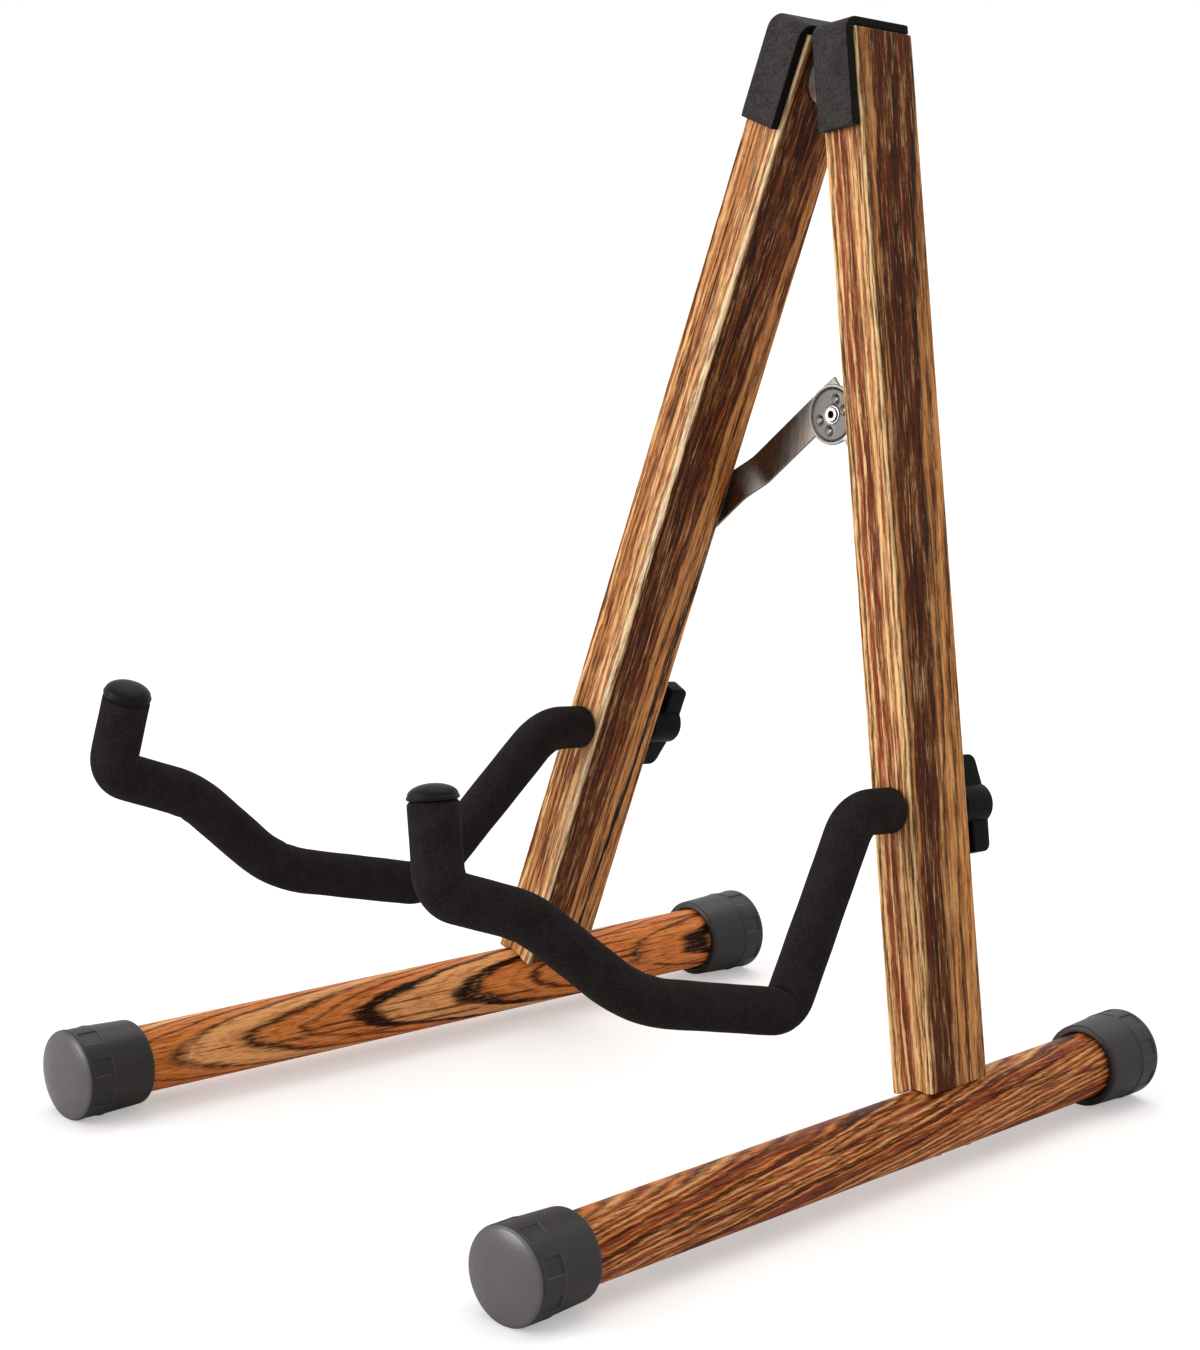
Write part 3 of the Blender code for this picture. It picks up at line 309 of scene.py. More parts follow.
def foot_height(side, x, y):
    """Where the leg's foot ends: the higher of its sawn plane and the hollow for the rail.

    The hollow is a cylinder about the rail's line d, so |p|^2 - (p.d)^2 = R^2 is solved for z.
    """
    d = rail_in_leg(side)
    slope = d[2] / d[1]
    plane = LEG_FOOT_HEIGHT * math.hypot(1, slope) + slope * y
    reach = RAIL_RADIUS + CLEARANCE
    flat = x * d[0] + y * d[1]
    a, b, c = 1 - d[2] ** 2, -2 * d[2] * flat, x**2 + y**2 - flat**2 - reach**2
    root = np.maximum(b**2 - 4 * a * c, 0)
    return np.maximum(plane, np.where(b**2 > 4 * a * c, (-b + np.sqrt(root)) / (2 * a), -1))


# %% Shape and drill the legs
LEG_EDGE, FOOT_EDGE = 0.0010, 0.0004
HINGE_SCREW_CIRCLE, LEAF_BELOW_PIN, HINGE_SCREW_DEPTH = 0.0072, 0.0123, 0.0143
STAY_SCREW_DEPTH, BOLT_REACH = 0.0123, 0.0223


def leg_rings(side):
    """Rings of the outline scaled in at the foot, straight up the leg, then in over the top."""
    outline = rounded_rectangle(LEG_WIDTH, LEG_DEPTH, LEG_EDGE)
    tight = rounded_rectangle(LEG_WIDTH - 2 * LEG_EDGE, LEG_DEPTH - 2 * LEG_EDGE, LEG_EDGE / 4)
    rings = []
    for share in (0.0, 0.15, 0.3, 0.45, 0.6, 0.75, 0.9, 0.96):
        flat = outline * share
        rings.append(np.column_stack([flat, foot_height(side, *flat.T)]))
    rings.append(np.column_stack([outline, foot_height(side, *outline.T) + FOOT_EDGE]))
    for along in np.linspace(0.03, LEG_LENGTH - LEG_EDGE, 24):
        rings.append(np.column_stack([outline, np.full(len(outline), along)]))
    for a in np.radians([30, 60, 90]):
        mix = outline * math.cos(a) + tight * (1 - math.cos(a))
        along = LEG_LENGTH - LEG_EDGE * (1 - math.sin(a))
        rings.append(np.column_stack([mix, np.full(len(mix), along)]))
    rings.append(np.column_stack([tight * 0, np.full(len(tight), LEG_LENGTH)]))
    return rings


def leg_holes(side):
    """Start, end and radius of each hole: for the rod, the stay's screw, the bolts, the hinge."""
    past, inner = LEG_DEPTH / 2 + DRILL_PAST, LEG_DEPTH / 2 - STAY_SCREW_DEPTH
    holes = [((0, -past, ARM_HEIGHT), (0, past, ARM_HEIGHT), ROD_RADIUS + CLEARANCE)]
    holes.append(((0, inner, STAY_SCREW), (0, past, STAY_SCREW), SCREW_HOLE))
    d = rail_in_leg(side)
    bolt = np.array([0, 0, 1.0]) - d * d[2]
    bolt = bolt / np.linalg.norm(bolt)
    for end in (-1, 1):
        start = d * end * BOLT_SPACING / 2
        holes.append((start, start + bolt * (LEG_FOOT_HEIGHT + BOLT_REACH), BOLT_HOLE))
    for a in np.radians([-90, 30, 150]):
        y = HINGE_SCREW_CIRCLE * math.cos(a)
        z = HINGE_ALONG_LEG - LEAF_BELOW_PIN + HINGE_SCREW_CIRCLE * math.sin(a)
        out = -side * (LEG_WIDTH / 2 + DRILL_PAST)
        holes.append(((out, y, z), (out + side * HINGE_SCREW_DEPTH, y, z), HINGE_SCREW_HOLE))
    return holes


for side, name in SIDES:
    leg = skin(name + "_leg_board", in_leg(side, leg_rings(side)))
    drills = [skin("drill", in_leg(side, bar(*hole))) for hole in leg_holes(side)]
    smooth(settle(leg, drills), 50)
    fit(leg, name + "_leg", name + "_side", name + "_leg")

# %% [markdown]
# ## The rails
# A rail is a length of round dowel. It is a profile turned about its own line, with far more
# sides than the solid has. Two bolts come up through it into the leg, each in a round recess.

# %% Turn the rails and cut their recesses
RAIL_END_RADIUS, RAIL_END_EDGE, RECESS_TOP = 0.0132, 0.0008, 0.011


def bolt_direction(side):
    """The bolts' way up, in the rail's directions: the leg's length, made square to the rail."""
    up = RAIL_TURN[side].T @ LEG_TURN[side] @ np.array([0, 0, 1.0])
    up[1] = 0
    return up / np.linalg.norm(up)


for side, name in SIDES:
    profile = [(0, -RAIL_AHEAD), (RAIL_END_RADIUS, -RAIL_AHEAD), (RAIL_RADIUS, -RAIL_AHEAD + RAIL_END_EDGE)]
    profile += [(RAIL_RADIUS, y) for y in np.linspace(-RAIL_AHEAD + 0.01, RAIL_BEHIND - 0.01, 20)]
    profile += [(RAIL_RADIUS, RAIL_BEHIND - RAIL_END_EDGE), (RAIL_END_RADIUS, RAIL_BEHIND), (0, RAIL_BEHIND)]
    rail = skin(name + "_rail_dowel", in_rail(side, turned_rings(profile, 96)))
    up, far = bolt_direction(side), RAIL_RADIUS + DRILL_PAST
    drills = []
    for at in (-BOLT_SPACING / 2, BOLT_SPACING / 2):
        middle = np.array([0, at, 0])
        for top, radius in ((-RECESS_TOP, BOLT_RECESS), (far, BOLT_HOLE)):
            hole = bar(middle - up * far, middle + up * top, radius)
            drills.append(skin("drill", in_rail(side, hole)))
    smooth(settle(rail, drills), 30)
    fit(rail, name + "_rail", name + "_side", name + "_rail")

# %% [markdown]
# ## The rubber caps
# Each rail end wears a moulded rubber cap. Its end is a shallow dome with a fine rim, and a band
# of panels is sunk into its side. The cap is a height field: the radius is a function of the
# angle round the cap and the distance from its end. The panels have steep walls, made with a
# smooth step, and their columns of points are crowded at the walls to keep them crisp. The side
# that faces the floor is flat where the stand rests on it.

# %% Caps as a function of angle and distance
CAP_RADIUS, CAP_LENGTH, CAP_OVERHANG = 0.0188, 0.03395, 0.008
CAP_BORE, CAP_BORE_END = 0.0143, 0.0077
DOME_RADIUS, DOME_HEIGHT = 0.0178, 0.002
PANEL_PITCH, PANEL_DEPTH, PANEL_WALL = np.pi / 4, 0.0006, 0.0005 / CAP_RADIUS
PANEL_START, PANEL_END, PANEL_RAMP = 0.0043, 0.0137, 0.0004
RIM_AT, RIM_WIDTH, GROOVE_AT, GROOVE_WIDTH = 0.0023, 0.0003, 0.0139, 0.00025


def panel_share(angle, along):
    """How deep in a panel a place is, from 0 on a land to 1 on a panel's floor."""
    phase = (angle + np.pi / 2 + PANEL_PITCH / 2) % PANEL_PITCH - PANEL_PITCH / 2
    across = smooth_step(PANEL_PITCH / 4, PANEL_PITCH / 4 + PANEL_WALL, np.abs(phase))
    inside = smooth_step(PANEL_START, PANEL_START + PANEL_RAMP, along)
    return across * inside * (1 - smooth_step(PANEL_END - PANEL_RAMP, PANEL_END, along))


def cap_angles():
    """Angles round the cap, with most of them at the walls between lands and panels."""
    edge = PANEL_PITCH / 4
    land = np.linspace(-edge, edge, 10, endpoint=False)
    wall = np.linspace(0, PANEL_WALL, 5, endpoint=False)
    floor = np.linspace(edge + PANEL_WALL, PANEL_PITCH - edge - PANEL_WALL, 10, endpoint=False)
    one = np.concatenate([land, edge + wall, floor, PANEL_PITCH - edge - PANEL_WALL + wall])
    return (one[None, :] + PANEL_PITCH * np.arange(8)[:, None] - np.pi / 2).ravel()


def cap_profile():
    """(radius, distance from the dome's middle) down the outside, round the lip, into the bore."""
    share = np.concatenate([np.linspace(0, 0.9, 14), np.linspace(0.92, 0.985, 5)])
    dome = np.column_stack([DOME_RADIUS * share, DOME_HEIGHT * share**3])
    rim = [(0.01755, 0.00192), (0.01768, 0.0021), (0.01785, 0.0021), (0.0183, RIM_AT), (0.01862, 0.0028)]
    wall_in = np.linspace(PANEL_START, PANEL_START + PANEL_RAMP, 5)
    wall_out = np.linspace(PANEL_END - PANEL_RAMP, PANEL_END, 5)
    s = np.concatenate([[0.0034, 0.0040], wall_in, np.linspace(0.0055, 0.0129, 10), wall_out, [0.01385]])
    band = np.column_stack([np.interp(s, [0.0034, 0.0040], [0.01878, CAP_RADIUS]), s])
    s = np.concatenate([[0.0140, 0.01425], np.linspace(0.015, 0.0326, 12)])
    side = np.column_stack([np.interp(s, [0.0140, 0.01425, 0.0326], [0.01872, 0.01852, 0.01772]), s])
    lip = [(0.0176, 0.0332), (0.0173, 0.0337), (0.0170, CAP_LENGTH), (0.0150, CAP_LENGTH)]
    bore = [(CAP_BORE, 0.0326), (CAP_BORE, CAP_BORE_END), (0, CAP_BORE_END)]
    return np.concatenate([dome, rim, band, side, lip, bore]), len(bore) + 1


def make_cap(side, name, end):
    """A cap as rings of points r(a, s) about the rail's line, with a flat for the floor.

    The flat is the radius cut off at a level: r = height / cos of the angle from straight down.
    """
    a = cap_angles()[None, :]
    profile, inner = cap_profile()
    r, s = profile[:, 0:1], profile[:, 1:2]
    outer = (np.arange(len(profile)) < len(profile) - inner)[:, None]
    r = r - outer * PANEL_DEPTH * panel_share(a, s)
    down = np.abs((a + np.pi / 2 + np.pi) % (2 * np.pi) - np.pi)
    flat = MIDDLE[2] / np.maximum(np.cos(down), 0.1)
    r = np.where(outer & (down < 0.5), np.minimum(r, flat), r)
    tip = -RAIL_AHEAD - CAP_OVERHANG if end < 0 else RAIL_BEHIND + CAP_OVERHANG
    rings = np.stack([r * np.cos(a), tip - end * s + 0 * r, r * np.sin(a)], axis=-1)
    cap = smooth(skin(f"{name}_{'front' if end < 0 else 'rear'}_rail_cap", in_rail(side, rings)), 45)

    local = (points_of(cap) - FOOT[side]) @ RAIL_TURN[side]
    angle, along = np.arctan2(local[:, 2], local[:, 0]), (tip - local[:, 1]) * end
    share = panel_share(angle, along)
    # The end face is marked paler, a painted highlight for the light it catches, and glossier.
    mark(cap, "end_face", 1 - smooth_step(0.0019, 0.0026, along))
    # Painted shade in the sunk panels.
    mark(cap, "panel", share)
    groove, rim = bell(along, GROOVE_AT, GROOVE_WIDTH), bell(along, RIM_AT, RIM_WIDTH)
    # Painted shade on the panels' walls and in the groove between band and side.
    mark(cap, "crease", np.clip(1 - np.abs(share - 0.65) / 0.35 + groove, 0, 1))
    # Painted highlight on the panels' edges and on the rim.
    mark(cap, "edge", np.clip(1 - np.abs(share - 0.16) / 0.15, 0, 1) + rim)
    return cap


for side, name in SIDES:
    for end, label in ((-1, "front"), (1, "rear")):
        key = f"{name}_{label}_cap"
        fit(make_cap(side, name, end), key, name + "_side", key)

# %% [markdown]
# ## The foam arms
# A sleeve of soft foam is pushed over a bent steel rod. A curve object with a round bevel would
# give the tube, but not the way foam buckles at a tight bend. So the path is worked out as
# straight runs and arcs, a ring is set square to it at every stop, and the rings near a bend are
# pinched on its inner side. Thick foam rounds off the gentle bends, so the sleeve's skin follows
# wider arcs than its bore, which keeps to the rod.

# %% A path of straight runs and arcs
ARM_BENDS = (
    (0.0409, 0.0, 0.018),
    (0.0868, -0.0744, 0.0115),
    (0.1709, -0.0611, 0.028),
    (0.2246, -0.0247, 0.026),
    (0.2673, -0.0127, 0.0115),
)
ARM_END = (0.2690, 0.0200)
ARM_TOE = 0.018
ARM_DROOP = {1: 0.0133, -1: -0.0016}
ARM_SWING = {1: 0.0559, -1: -0.0136}
SLEEVE_BENDS = (0.018, 0.0115, 0.085, 0.070, 0.0115)
FOAM_RADIUS, FOAM_BORE, FOAM_EDGE = 0.0094, 0.0043, 0.0016
MOUTH_RADIUS, MOUTH_DEPTH = 0.0073, 0.0036
PLUG_RADIUS, PLUG_RECESS, DOME_WIDTH, DOME_FOOT, DOME_RISE = 0.00948, 0.0026, 0.0091, 0.0015, 0.0042
BUCKLES = ((-0.0009, 2.0, 0.0, 0.0032), (-0.0011, 1.5, 0.0, 0.0008), (0.0004, 2.0, 0.0042, 0.0022))
SHARP_BEND, GENTLE_SHARE = 0.015, 0.25


def arm_corners(side):
    """The corners of an arm's line as (across, depth, up) from the rod's hole in the leg.

    ARM_BENDS holds (ahead, up, radius) of each bend, and a droop tips the whole arm down.
    """
    stops = np.array([(f, h) for f, h, _ in ARM_BENDS] + [ARM_END])
    ahead = stops[:, 0] - stops[0, 0]
    corners = np.column_stack([side * ARM_TOE * ahead, -stops[:, 0], stops[:, 1] - ARM_DROOP[side] * ahead])
    return np.concatenate([[[0, -LEG_DEPTH / 2 - CLEARANCE, 0]], corners])


def unit(vector):
    """A direction, one long."""
    return vector / np.linalg.norm(vector)


def bent_path(corners, radii, step=0.0011):
    """Points and directions along straight runs joined by arcs.

    At a corner between unit directions u and v the arc starts R tan(t/2) before it, where t is
    the angle turned, and its points are c + R(-n cos s + u sin s) for s from 0 to t.
    """
    points, directions, bends = [], [], []
    last, length = corners[0], 0.0
    for i in range(1, len(corners)):
        u, stop = unit(corners[i] - corners[i - 1]), corners[i]
        bending = i < len(corners) - 1
        if bending:
            v, radius = unit(corners[i + 1] - corners[i]), radii[i - 1]
            t = math.acos(np.clip(u @ v, -1, 1))
            stop = corners[i] - u * radius * math.tan(t / 2)
        run = np.linalg.norm(stop - last)
        count = max(2, int(run / step))
        points.append(last + (stop - last) * np.linspace(0, 1, count, endpoint=False)[:, None])
        directions.append(np.tile(u, (count, 1)))
        length, last = length + run, stop
        if bending:
            n = unit(v - u * (u @ v))
            centre = stop + n * radius
            s = np.linspace(0, t, max(6, int(radius * t / step)), endpoint=False)[:, None]
            points.append(centre + radius * (-n * np.cos(s) + u * np.sin(s)))
            directions.append(u * np.cos(s) + n * np.sin(s))
            bends.append((length + radius * t / 2, n, radius))
            length += radius * t
            last = centre + radius * (-n * math.cos(t) + u * math.sin(t))
    points.append(last[None, :])
    directions.append(u[None, :])
    return np.concatenate(points), np.concatenate(directions), bends


def path_rings(points, directions, radius, columns=64):
    """Circles square to a path: p + r (across cos a + up sin a), with across kept level."""
    across = np.array([1.0, 0, 0]) - directions * directions[:, 0:1]
    across = across / np.linalg.norm(across, axis=1, keepdims=True)
    up = np.cross(directions, across)
    a = np.linspace(0, 2 * np.pi, columns, endpoint=False)
    ring = across[:, None, :] * np.cos(a)[None, :, None] + up[:, None, :] * np.sin(a)[None, :, None]
    radius = np.broadcast_to(radius, ring.shape[:2])
    return points[:, None, :] + ring * radius[..., None], ring


def in_arm(side, points):
    """Points from the rod's hole, swung with the arm, moved to their place in the stand."""
    swung = np.asarray(points) @ turn("Y", side * ARM_SWING[side]).T
    return in_leg(side, swung + np.array([0, 0, ARM_HEIGHT]))


# %% [markdown]
# The sleeve's radius is very slightly wavy, and it buckles on the inside of each bend: a broad
# pinch, a fine crease in the middle of it and a low bulge on both sides, much weaker on a gentle
# bend. Each buckle is a bell curve of the distance along the path, times a power of how far a
# place faces the bend's inner side. BUCKLES holds its height, that power, its distance from the
# bend's middle and its width. The bore is wider at the leg, where the rod's collar sits.

# %% Make the sleeves and their plugs
WAVE_HEIGHT, ROLL_SHARE = 0.00008, 0.6


def foam_radius(side, points, ring, bends):
    """The sleeve's radius at every point of every ring, rolled over at both ends."""
    gap = np.linalg.norm(np.diff(points, axis=0), axis=1)
    along = np.concatenate([[0], np.cumsum(gap)])[:, None]
    radius = np.full(ring.shape[:2], FOAM_RADIUS)
    radius += WAVE_HEIGHT * np.sin(along * 210 + side) * np.sin(along * 67)
    for at, inward, bend in bends:
        facing = np.clip((ring * inward).sum(axis=-1), 0, 1)
        tight = 1.0 if bend < SHARP_BEND else GENTLE_SHARE
        for height, power, away, width in BUCKLES:
            radius += tight * height * facing**power * bell(np.abs(along - at), away, width)
    from_end = np.minimum(along, along[-1] - along)
    rolled = np.clip(1 - from_end / FOAM_EDGE, 0, 1)
    return radius - FOAM_EDGE * ROLL_SHARE * (1 - np.sqrt(1 - rolled**2))


def make_sleeve(side, name):
    """The skin from the leg to the tip, back down the bore, and out through the wider mouth."""
    points, directions, bends = bent_path(arm_corners(side), SLEEVE_BENDS)
    _, ring = path_rings(points, directions, 1.0)
    outer, _ = path_rings(points, directions, foam_radius(side, points, ring, bends))
    points, directions, _ = bent_path(arm_corners(side), [r for _, _, r in ARM_BENDS])
    inner, _ = path_rings(points[::4], directions[::4], FOAM_BORE)
    face, ahead = points[0], directions[0]
    stops = face + ahead * np.array([[MOUTH_DEPTH], [MOUTH_DEPTH], [0.0]])
    radii = np.array([[FOAM_BORE], [MOUTH_RADIUS], [MOUTH_RADIUS]])
    mouth, _ = path_rings(stops, np.tile(ahead, (3, 1)), radii)
    past_mouth = np.linalg.norm(points[::4] - face, axis=1) > MOUTH_DEPTH + 0.0001
    tube = np.concatenate([outer, inner[past_mouth][::-1], mouth])
    return smooth(skin(name + "_foam_sleeve", in_arm(side, tube), closed=True), 60), points, directions


def make_plug(side, name, tip, ahead):
    """The plug as a turned profile at the tip: a recess for the rod, a fine rim, a low dome."""
    a = np.radians(np.linspace(0, 90, 14))
    shape = [(0, PLUG_RECESS), (FOAM_BORE, PLUG_RECESS), (FOAM_BORE, 0), (0.0091, 0), (0.00935, 0.0002)]
    shape += [(PLUG_RADIUS, 0.0006), (PLUG_RADIUS, 0.0010), (0.00930, 0.0013), (0.00918, 0.0014)]
    dome = np.column_stack([DOME_WIDTH * np.cos(a), DOME_FOOT + DOME_RISE * np.sin(a)])
    shape = np.concatenate([shape, dome])
    stops = tip + ahead * (shape[:, 1:2] + CLEARANCE)
    rings, _ = path_rings(stops, np.tile(ahead, (len(stops), 1)), shape[:, 0:1])
    return smooth(skin(name + "_end_plug", in_arm(side, rings)), 50)


for side, name in SIDES:
    sleeve, points, directions = make_sleeve(side, name)
    fit(sleeve, name + "_arm_foam", name + "_arm", name + "_foam")
    plug = make_plug(side, name, points[-1], directions[-1])
    fit(plug, name + "_arm_tip", name + "_arm", name + "_plug")

# %% [markdown]
# ## The pads on the leg tops
# A strip of rubber is wrapped over each leg's top and down its front, to keep the guitar off the
# wood. It is cut from a sheet, so its two sides are clean cuts. Its section is a thin rounded
# rectangle between an inner line, which follows the leg's corner, and an outer line, which goes
# round that corner in an arc.

# %% Wrap the pads
PAD_WIDTH, PAD_THICK, PAD_TOP_THICK, PAD_BEND, PAD_EDGE = 0.019, 0.0045, 0.0038, 0.007, 0.0006
PAD_DOWN, PAD_BACK = 0.041, 0.0352


def pad_lines():
    """The inner and the outer line of the strip, as matching stops (depth, along the leg)."""
    front, top = -LEG_DEPTH / 2 - CLEARANCE, LEG_LENGTH + CLEARANCE
    bottom, back = LEG_LENGTH - PAD_DOWN, front + PAD_BACK
    bend_z, bend_y = top + PAD_TOP_THICK - PAD_BEND, front - PAD_THICK + PAD_BEND
    a = np.linspace(0, np.pi / 2, 15)
    up = np.linspace(bottom, bend_z, 18)[:-1]
    over = np.linspace(bend_y, back, 16)[1:]
    outer = np.concatenate([
        np.column_stack([np.full(len(up), front - PAD_THICK), up]),
        np.column_stack([bend_y - PAD_BEND * np.cos(a), bend_z + PAD_BEND * np.sin(a)]),
        np.column_stack([over, np.full(len(over), top + PAD_TOP_THICK)]),
    ])
    t = a / (np.pi / 2)
    corner = np.where(t < 0.5, bend_z + (top - bend_z) * 2 * t, top)
    around = np.where(t < 0.5, front, front + (bend_y - front) * (2 * t - 1))
    inner = np.concatenate([
        np.column_stack([np.full(len(up), front), up]),
        np.column_stack([around, corner]),
        np.column_stack([over, np.full(len(over), top)]),
    ])
    return inner, outer


def pad_ring(inner, outer, inset):
    """A rounded rectangle between an inner and an outer stop, pulled in by an inset."""
    thick = np.linalg.norm(outer - inner)
    flat = rounded_rectangle(PAD_WIDTH - 2 * inset, thick - 2 * inset, PAD_EDGE - inset * 0.9, 5, 10)
    share = flat[:, 1:2] / thick + 0.5
    return np.column_stack([flat[:, 0], inner * (1 - share) + outer * share])


def make_pad(side, name):
    """The rounded rectangle carried along both lines, with rounded ends closed by a pole."""
    inner, outer = pad_lines()
    rings = [pad_ring(i, o, 0.0) for i, o in zip(inner[1:-1], outer[1:-1])]
    ends = []
    for index, ahead in ((0, np.array([0, 1.0])), (-1, np.array([-1.0, 0]))):
        inset = PAD_EDGE * (1 - np.sin(np.radians([0, 30, 60])))
        sunk = PAD_EDGE * (1 - np.cos(np.radians([0, 30, 60])))
        line = zip(inset, sunk)
        turned_in = [pad_ring(inner[index] + ahead * d, outer[index] + ahead * d, i) for i, d in line]
        pole = np.tile(turned_in[0].mean(axis=0), (len(turned_in[0]), 1))
        ends.append([pole, *turned_in])
    strip = np.array([*ends[0], *rings, *ends[1][::-1]])
    pad = smooth(skin(name + "_rest_pad", in_leg(side, strip)), 50)
    across = np.abs(((points_of(pad) - FOOT[side]) @ LEG_TURN[side])[:, 0])
    mark(pad, "cut_edge", smooth_step(PAD_WIDTH / 2 - PAD_EDGE, PAD_WIDTH / 2 - 0.0002, across))
    return pad


for side, name in SIDES:
    pad = make_pad(side, name)
    fit(pad, name + "_top_pad", name + "_side", name + "_pad")

# %% [markdown]
# ## The wing knobs
# Behind each leg a black moulded knob clamps the rod. It has a round hub with a low dome and two
# flat wings with round ends, swept a little toward the leg. The hub is turned, and the wings are
# a plate with rounded edges. The two are joined with a Boolean union, so they make one closed
# shell, as the mould does.

# %% Mould the knobs
KNOB_TURN = {1: math.radians(7), -1: math.radians(9)}
HUB_RADIUS, HUB_FRONT, HUB_CROWN = 0.0088, 0.020275, 0.0383
WING_HALF_SPAN, WING_HALF_THICK = 0.0205, 0.004
WING_FRONT, WING_BACK, WING_SWEEP, WING_CORNER = 0.0255, 0.0365, 0.0018, 0.004
CORE_RADIUS, CORE_TOP, WING_EDGE = 0.0063, 0.0333, 0.0009


def arc(centre, radius, start, end, count):
    """Points along an arc in a plane: the centre plus radius (cos a, sin a)."""
    a = np.linspace(start, end, count)
    return np.column_stack([centre[0] + radius * np.cos(a), centre[1] + radius * np.sin(a)])


def plate_rings(outline, low, high, edge, steps=5):
    """A flat plate with rounded edges: the outline pulled in by edge (1 - sin a) near a face."""
    ahead = np.roll(outline, -1, axis=0) - np.roll(outline, 1, axis=0)
    inward = np.column_stack([-ahead[:, 1], ahead[:, 0]])
    inward = inward / np.linalg.norm(inward, axis=1, keepdims=True)
    inward = inward * np.sign(np.sum((outline.mean(axis=0) - outline) * inward, axis=1, keepdims=True))
    a = np.linspace(0, np.pi / 2, steps)
    inset = edge * (1 - np.sin(a))
    rise = edge * (1 - np.cos(a))
    levels = [(i, low + r) for i, r in zip(inset, rise)]
    levels += [(i, high - r) for i, r in zip(inset, rise)][::-1]
    rings = [np.column_stack([np.full(len(outline), h), outline + inward * i]) for i, h in levels]
    pole = np.tile(np.concatenate([[0.0], outline.mean(axis=0)]), (len(outline), 1))
    return np.array([pole + [low, 0, 0], *rings, pole + [high, 0, 0]])


def wing_outline():
    """The wings as (depth, height): round outer corners, and edges swept back to the hub."""
    half, back, corner, root, small = WING_HALF_SPAN, WING_BACK, WING_CORNER, HUB_RADIUS * 0.6, 0.001
    run = np.linspace(0, 1, 8)[1:-1, None]
    high = np.concatenate([
        arc((WING_FRONT + small, half - small), small, np.pi, np.pi / 2, 5),
        arc((back - corner, half - corner), corner, np.pi / 2, 0, 10),
    ])
    to_root = np.array([back, half - corner]) * (1 - run) + np.array([back + WING_SWEEP, root]) * run
    out = np.array([WING_FRONT + WING_SWEEP, root]) * (1 - run) + np.array([WING_FRONT, half - small]) * run
    upper = np.concatenate([out, high, to_root])
    return np.concatenate([upper, upper[::-1] * [1, -1]])


def make_knob(side, name):
    """The hub as a turned profile, and the wings as a plate 8 mm thick through its middle.

    The core, where the threaded insert sits, is cut out of the wings before they are joined on.
    """
    shoulder = HUB_CROWN - 0.0012
    hub = [(0.0, CORE_TOP), (CORE_RADIUS, CORE_TOP), (CORE_RADIUS, HUB_FRONT)]
    hub += [(0.0082, HUB_FRONT), (HUB_RADIUS, HUB_FRONT + 0.0006)]
    a = np.linspace(0, np.pi / 2, 8)
    hub += list(zip(HUB_RADIUS - 0.0010 * (1 - np.cos(a)), shoulder - 0.0007 + 0.0007 * np.sin(a)))
    hub += [(0.0065, shoulder + 0.0006), (0.0045, shoulder + 0.0009)]
    hub += [(0.002, HUB_CROWN - 0.0001), (0.0, HUB_CROWN)]
    wings = skin("wings", plate_rings(wing_outline(), -WING_HALF_THICK, WING_HALF_THICK, WING_EDGE))
    core = [(0, 0.015), (CORE_RADIUS, 0.015), (CORE_RADIUS, CORE_TOP), (0, CORE_TOP)]
    core = skin("core", turned_rings(core, 64))
    knob = settle(skin(name + "_clamp_knob", turned_rings(hub, 64)), [settle(wings, [core])], "UNION")
    turned = turn("Y", -side * KNOB_TURN[side])
    moved = in_leg(side, points_of(knob) @ turned.T + np.array([0, 0, ARM_HEIGHT]))
    knob.data.vertices.foreach_set("co", moved.ravel())
    knob.data.update()
    return smooth(knob, 35)


for side, name in SIDES:
    fit(make_knob(side, name), name + "_wing_knob", name + "_knob", name + "_knob")

# %% [markdown]
# ## The folding stay
# Two pressed steel straps join the backs of the legs. Each lies flat on its leg, steps back to
# its own layer, and ends in a disc. The strap is a ring carried along its length: at each stop a
# lower and an upper edge are known, and a flat loop runs between them.

# %% The straps
SCREW_X, SCREW_Z = HALF_TRACK - STAY_SCREW * math.sin(SPLAY), STAY_SCREW * math.cos(SPLAY)
DISC_HEIGHT = 0.2738
STAY_REACH = math.hypot(SCREW_X, DISC_HEIGHT - SCREW_Z)
STRAP_HALF, STRAP_THICK = 0.0071, 0.0015
STEP_START, STEP_LENGTH = 0.0245, 0.0155
NEAR_DEPTH = LEG_DEPTH / 2 + CLEARANCE
FRONT_DEPTH = NEAR_DEPTH + 0.0028
REAR_DEPTH = FRONT_DEPTH + STRAP_THICK + CLEARANCE
FRONT_DISC, REAR_DISC, REAR_TIP = 0.013, 0.0123, 0.009
REAR_OFFSET, RIVET_HOLE = 0.0064, 0.0056


def strap_edges(disc_radius, offset, tip):
    """Stops along a strap with its lower and upper edge, all measured from the screw.

    The strap's middle line passes the disc's middle at an offset. Past the disc's middle a tip
    keeps the upper edge straight for a while, so that a corner stands out beside the disc.
    """
    reach = math.sqrt(STAY_REACH**2 - offset**2)
    tail = -STRAP_HALF * np.cos(np.linspace(0, np.pi / 2, 12))
    straight = np.linspace(0, reach - disc_radius, 60)[1:]
    disc = reach - disc_radius * np.cos(np.linspace(0, np.pi, 60))[1:]
    a = np.concatenate([tail, straight, disc])
    a = np.sort(np.concatenate([a, [reach + tip, reach + tip + 1e-5]])) if tip else a
    round_end = np.sqrt(np.maximum(STRAP_HALF**2 - np.minimum(a, 0) ** 2, 0))
    chord = np.sqrt(np.maximum(disc_radius**2 - (a - reach) ** 2, 0))
    in_disc = a > reach - disc_radius
    under = np.where(a < reach, np.minimum(-offset - chord, -STRAP_HALF), -offset - chord)
    low = np.where(in_disc, under, -round_end)
    high = np.where(a <= reach + tip + 5e-6, round_end, -offset + chord)
    return a, low, high


